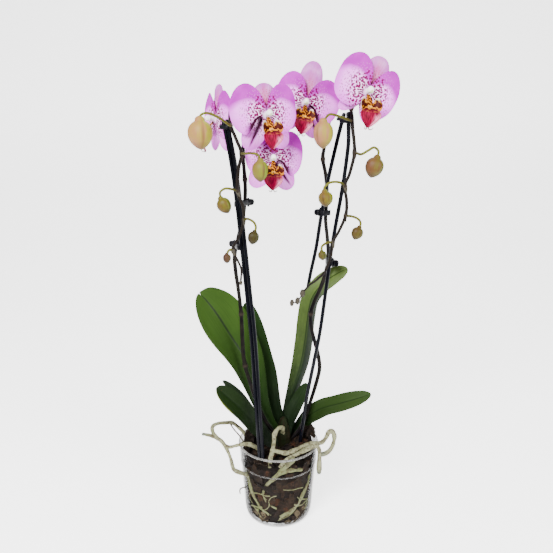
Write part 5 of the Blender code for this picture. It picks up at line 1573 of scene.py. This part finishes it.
def add_root(shape, finish, route, first, last, rng, rings=None, sides=16, tip=False):
    """Adds a root along a route: knobbly, slightly flattened and with a green growing tip where asked."""
    rings = rings or max(24, int(route_length(route) / ROOT_RING))
    fine = smooth_route(route, rings)
    shares = np.linspace(0, 1, rings)
    length = route_length(fine)
    radii = np.linspace(first, last, rings) * (1 + waves(rng, 6, 0.10)(shares * length * 160))
    angles, shares = round_places(sides), shares[:, None]
    flat = 0.06 * np.cos(2 * angles + rng.uniform(0, 6) + 5 * shares)
    uneven = 1 + flat + 0.03 * np.cos(3 * angles + 11 * shares)
    points, faces, along, around = bar(fine, radii[:, None] * uneven, sides)
    green = clamp((along - 0.93) / 0.07) if tip else 0.0
    shape.add(points, faces, finish, along=along, round=around, metres=along * length, tip=green)


def make_air_roots(settings):
    """The loose roots in front of the pot and to its left, and the small tip that pokes out low down."""
    finish = root_finish("air_root_skin", settings.dry, settings.green, 0.10)
    dark = root_finish("dry_root_skin", (0.05, 0.034, 0.024), (0.03, 0.022, 0.014), 0.2)
    rng = random.Random(AIR_ROOT_SEED)
    for name, branches in AIR_ROOTS.items():
        shape = Shape()
        for index, (route, first, last) in enumerate(branches):
            thin = 1 if first < 1.5 else 0
            add_root(shape, thin, metres(route), 1.02 * first / 1000, 1.02 * last / 1000, rng, tip=index > 0)
        make_piece(name + "_skin", shape, [finish, dark], [name], sharp=80)
    shape = Shape()
    route, first, last = ROOT_TIP
    add_root(shape, 0, metres(route), first / 1000, last / 1000, rng, rings=40)
    make_piece("root_tip_skin", shape, [dark], ["root_tip"], sharp=80)


def wander_route(rng, hand):
    """Places along a fine root that wanders over the chips at the wall, to one hand or the other."""
    degrees, height, heading = drawn(rng, (-180, 180), (14, 92), (-1, 1))
    places = []
    for _ in range(rng.randint(5, 9)):
        places.append((degrees, height))
        heading += rng.uniform(-0.7, 0.7)
        degrees += 9 * math.cos(heading) * hand
        height = min(max(height + 8 * math.sin(heading), 12), 96)
    return places


def make_inner_roots(settings):
    """The roots behind the clear wall: the thick ones, and fine ones that wander over the chips."""
    damp = root_finish("inner_root_skin", settings.damp, settings.green, 0.16)
    rng = random.Random(INNER_ROOT_SEED)
    for name, (places, radius) in INNER_ROOTS.items():
        shape = Shape()
        add_root(shape, 0, wall_route(places, radius), 0.9 * radius / 1000, 0.6 * radius / 1000, rng)
        make_piece(name + "_skin", shape, [damp], [name], sharp=80)
    shape = Shape()
    for places, radius in WALL_ROOTS:
        add_root(shape, 0, wall_route(places, radius), radius / 1000, 0.7 * radius / 1000, rng)
    for index in range(settings.fine_roots):
        places = wander_route(rng, 1 if index % 2 else -1)
        radius = rng.uniform(0.7, 1.9)
        add_root(shape, 0, wall_route(places, radius), radius / 1000, 0.7 * radius / 1000, rng, sides=10)
    make_piece("fine_inner_roots", shape, [damp], [], sharp=80)


# ---------------------------------------- settings


def swatch(name, description, default):
    """A colour that the panel can change."""
    return FloatVectorProperty(name=name, description=description, subtype="COLOR", default=default)


class PotSettings(PropertyGroup):
    """The clear pot."""

    sides: IntProperty(name="Sides", description="Faces round the pot", default=144, min=24)
    # The haze scales both the damp and the painted sheen at the pot's sides.
    haze: FloatProperty(name="Haze", description="How much the damp plastic hides", default=0.25,
                        min=0.0, max=1.0)


class BarkSettings(PropertyGroup):
    """The bark mix."""

    seed: IntProperty(name="Seed", description="Start of the random draw that lays the chips", default=7)
    wall_chips: IntProperty(name="Chips at the wall", description="Chips pressed against it", default=520)
    top_chips: IntProperty(name="Chips on top", description="Chips piled on the surface", default=190)
    dark: swatch("Dark", "Damp bark", (0.008, 0.0065, 0.006))
    brown: swatch("Brown", "Drier bark", (0.021, 0.013, 0.008))


class LeafSettings(PropertyGroup):
    """The leaves."""

    thickness: FloatProperty(name="Thickness", description="At the midrib", default=0.0024, unit="LENGTH")


class StakeSettings(PropertyGroup):
    """The stakes."""

    colour: swatch("Colour", "The stakes' plastic", (0.0015, 0.0018, 0.004))


class BloomSettings(PropertyGroup):
    """The blooms' colours."""

    centre: swatch("Centre", "Near the hub", (0.95, 0.72, 0.93))
    petal: swatch("Petal", "The outer half of a petal", (0.88, 0.17, 0.90))
    margin: swatch("Margin", "The upper margin of a petal", (0.34, 0.001, 0.35))
    spots: swatch("Spots", "The spots on the petals", (0.14, 0.002, 0.060))
    rose: swatch("Rose", "The veins and dots of the sepals", (0.45, 0.05, 0.18))
    lip: swatch("Lip", "The lip's front lobe", (0.22, 0.0005, 0.026))


class RootSettings(PropertyGroup):
    """The roots."""

    dry: swatch("Dry skin", "Roots in the air", (0.21, 0.21, 0.125))
    damp: swatch("Damp skin", "Roots behind the wall", (0.135, 0.145, 0.075))
    green: swatch("Green", "Where the skin is wet", (0.095, 0.115, 0.035))
    fine_roots: IntProperty(name="Fine roots", description="Thin roots over the chips", default=26)


class StageSettings(PropertyGroup):
    """The camera, the light and the pale sweep."""

    camera: FloatVectorProperty(name="Camera", description="Where the camera stands", subtype="TRANSLATION",
                                default=(-0.003, -0.806, 0.579))
    tilt: FloatProperty(name="Tilt", description="How far the camera looks down", subtype="ANGLE",
                        default=math.radians(13.67))
    lens: FloatProperty(name="Lens", description="The focal length in millimetres", default=37.24)
    floor: swatch("Floor", "The sweep's colour", (0.9, 0.9, 0.9))
    glow: FloatProperty(name="Glow", description="Light that comes through the sweep", default=2.4, min=0.0)


# ---------------------------------------- operators


class ORCHID_OT_stage(Operator):
    """Set up the camera, the soft lights and the pale sweep"""

    bl_idname = "orchid.stage"
    bl_label = "Stage"

    def execute(self, context):
        make_stage(context.scene.orchid_stage)
        return {"FINISHED"}


class ORCHID_OT_pot(Operator):
    """Make the clear pot"""

    bl_idname = "orchid.pot"
    bl_label = "Pot"

    def execute(self, context):
        make_pot(context.scene.orchid_pot)
        return {"FINISHED"}


class ORCHID_OT_bark(Operator):
    """Make the bark mix"""

    bl_idname = "orchid.bark"
    bl_label = "Bark"

    def execute(self, context):
        make_bark(context.scene.orchid_bark)
        return {"FINISHED"}


class ORCHID_OT_crown(Operator):
    """Make the crown"""

    bl_idname = "orchid.crown"
    bl_label = "Crown"

    def execute(self, context):
        make_crown()
        return {"FINISHED"}


class ORCHID_OT_leaves(Operator):
    """Make the leaves"""

    bl_idname = "orchid.leaves"
    bl_label = "Leaves"

    def execute(self, context):
        make_leaves(context.scene.orchid_leaves)
        return {"FINISHED"}


class ORCHID_OT_stakes(Operator):
    """Make the stakes"""

    bl_idname = "orchid.stakes"
    bl_label = "Stakes"

    def execute(self, context):
        make_stakes(context.scene.orchid_stakes)
        return {"FINISHED"}


class ORCHID_OT_stems(Operator):
    """Make the flower stems"""

    bl_idname = "orchid.stems"
    bl_label = "Flower stems"

    def execute(self, context):
        make_stems()
        return {"FINISHED"}


class ORCHID_OT_clips(Operator):
    """Make the stem clips"""

    bl_idname = "orchid.clips"
    bl_label = "Clips"

    def execute(self, context):
        make_clips()
        return {"FINISHED"}


class ORCHID_OT_buds(Operator):
    """Make the buds"""

    bl_idname = "orchid.buds"
    bl_label = "Buds"

    def execute(self, context):
        make_buds()
        return {"FINISHED"}


class ORCHID_OT_petals(Operator):
    """Make the petals and sepals of every bloom"""

    bl_idname = "orchid.petals"
    bl_label = "Petals"

    def execute(self, context):
        blooms = context.scene.orchid_blooms
        finishes = [petal_finish(blooms), upper_sepal_finish(blooms), lower_sepal_finish(blooms)]
        finishes.append(pedicel_finish())
        for name, form in BLOOMS.items():
            make_petals(name, form, finishes)
        return {"FINISHED"}


class ORCHID_OT_lips(Operator):
    """Make the lip of every bloom"""

    bl_idname = "orchid.lips"
    bl_label = "Lips"

    def execute(self, context):
        finishes = [lip_front_finish(context.scene.orchid_blooms), lip_side_finish(), callus_finish()]
        for name, form in BLOOMS.items():
            make_lip(name, form, finishes)
        return {"FINISHED"}


class ORCHID_OT_columns(Operator):
    """Make the column of every bloom"""

    bl_idname = "orchid.columns"
    bl_label = "Columns"

    def execute(self, context):
        finish = column_finish()
        for name, form in BLOOMS.items():
            make_column(name, form, finish)
        return {"FINISHED"}


class ORCHID_OT_air_roots(Operator):
    """Make the roots in the open air"""

    bl_idname = "orchid.air_roots"
    bl_label = "Air roots"

    def execute(self, context):
        make_air_roots(context.scene.orchid_roots)
        return {"FINISHED"}


class ORCHID_OT_inner_roots(Operator):
    """Make the roots behind the clear wall"""

    bl_idname = "orchid.inner_roots"
    bl_label = "Inner roots"

    def execute(self, context):
        make_inner_roots(context.scene.orchid_roots)
        return {"FINISHED"}


OPERATORS = (ORCHID_OT_stage, ORCHID_OT_pot, ORCHID_OT_bark, ORCHID_OT_crown, ORCHID_OT_leaves,
             ORCHID_OT_stakes, ORCHID_OT_stems, ORCHID_OT_clips, ORCHID_OT_buds, ORCHID_OT_petals,
             ORCHID_OT_lips, ORCHID_OT_columns, ORCHID_OT_air_roots, ORCHID_OT_inner_roots)
SETTINGS = {"orchid_pot": PotSettings, "orchid_bark": BarkSettings, "orchid_leaves": LeafSettings,
            "orchid_stakes": StakeSettings, "orchid_blooms": BloomSettings, "orchid_roots": RootSettings,
            "orchid_stage": StageSettings}


class ORCHID_PT_panel(Panel):
    """The list of the orchid's pieces"""

    bl_idname = "ORCHID_PT_panel"
    bl_label = "Orchid"
    bl_space_type = "VIEW_3D"
    bl_region_type = "UI"
    bl_category = "Orchid"

    def draw(self, context):
        for name, group in SETTINGS.items():
            box = self.layout.box()
            box.label(text=group.__doc__)
            for key in group.__annotations__:
                box.prop(getattr(context.scene, name), key)
        for operator in OPERATORS:
            self.layout.operator(operator.bl_idname)


def make_stage(settings):
    """A pale sweep under and behind the plant, soft lights and the camera."""
    across = np.linspace(-SWEEP_HALF, SWEEP_HALF, 9)
    points = [(x, y, z) for y, z in SWEEP for x in across]
    mesh = bpy.data.meshes.new("pale_sweep")
    mesh.from_pydata(points, [], quads(len(SWEEP), len(across)))
    mesh.shade_smooth()
    sweep = bpy.data.objects.new("pale_sweep", mesh)
    mesh.materials.append(stage_finish(settings).material)
    scene = bpy.context.scene
    scene.collection.objects.link(sweep)
    world = bpy.data.worlds.new("soft_room")
    world.use_nodes = True
    room = world.node_tree.nodes["Background"].inputs
    room["Color"].default_value = (1.0, 1.0, 1.0, 1.0)
    room["Strength"].default_value = ROOM_LIGHT
    scene.world = world
    for name, power, size, place in LIGHTS:
        light = bpy.data.lights.new(name, "AREA")
        light.energy = power
        light.size = size
        lamp = bpy.data.objects.new(name, light)
        lamp.location = place
        aim = Vector(LIGHTS_AIM) - Vector(place)
        lamp.rotation_euler = aim.to_track_quat("-Z", "Y").to_euler()
        scene.collection.objects.link(lamp)
    camera = bpy.data.cameras.new("camera")
    camera.sensor_width = SENSOR_WIDTH
    camera.lens = settings.lens
    holder = bpy.data.objects.new("camera", camera)
    holder.location = settings.camera
    holder.rotation_euler = (math.pi / 2 - settings.tilt, 0, 0)
    scene.collection.objects.link(holder)
    scene.camera = holder


def register():
    """Registers the settings, the operators and the panel."""
    for name, group in SETTINGS.items():
        bpy.utils.register_class(group)
        setattr(bpy.types.Scene, name, PointerProperty(type=group))
    for operator in OPERATORS:
        bpy.utils.register_class(operator)
    bpy.utils.register_class(ORCHID_PT_panel)


def unregister():
    """Takes them away again."""
    bpy.utils.unregister_class(ORCHID_PT_panel)
    for operator in reversed(OPERATORS):
        bpy.utils.unregister_class(operator)
    for name, group in reversed(SETTINGS.items()):
        delattr(bpy.types.Scene, name)
        bpy.utils.unregister_class(group)


def main():
    """Makes every piece."""
    register()
    for operator in OPERATORS:
        group, name = operator.bl_idname.split(".")
        getattr(getattr(bpy.ops, group), name)()


if __name__ == "__main__":
    main()
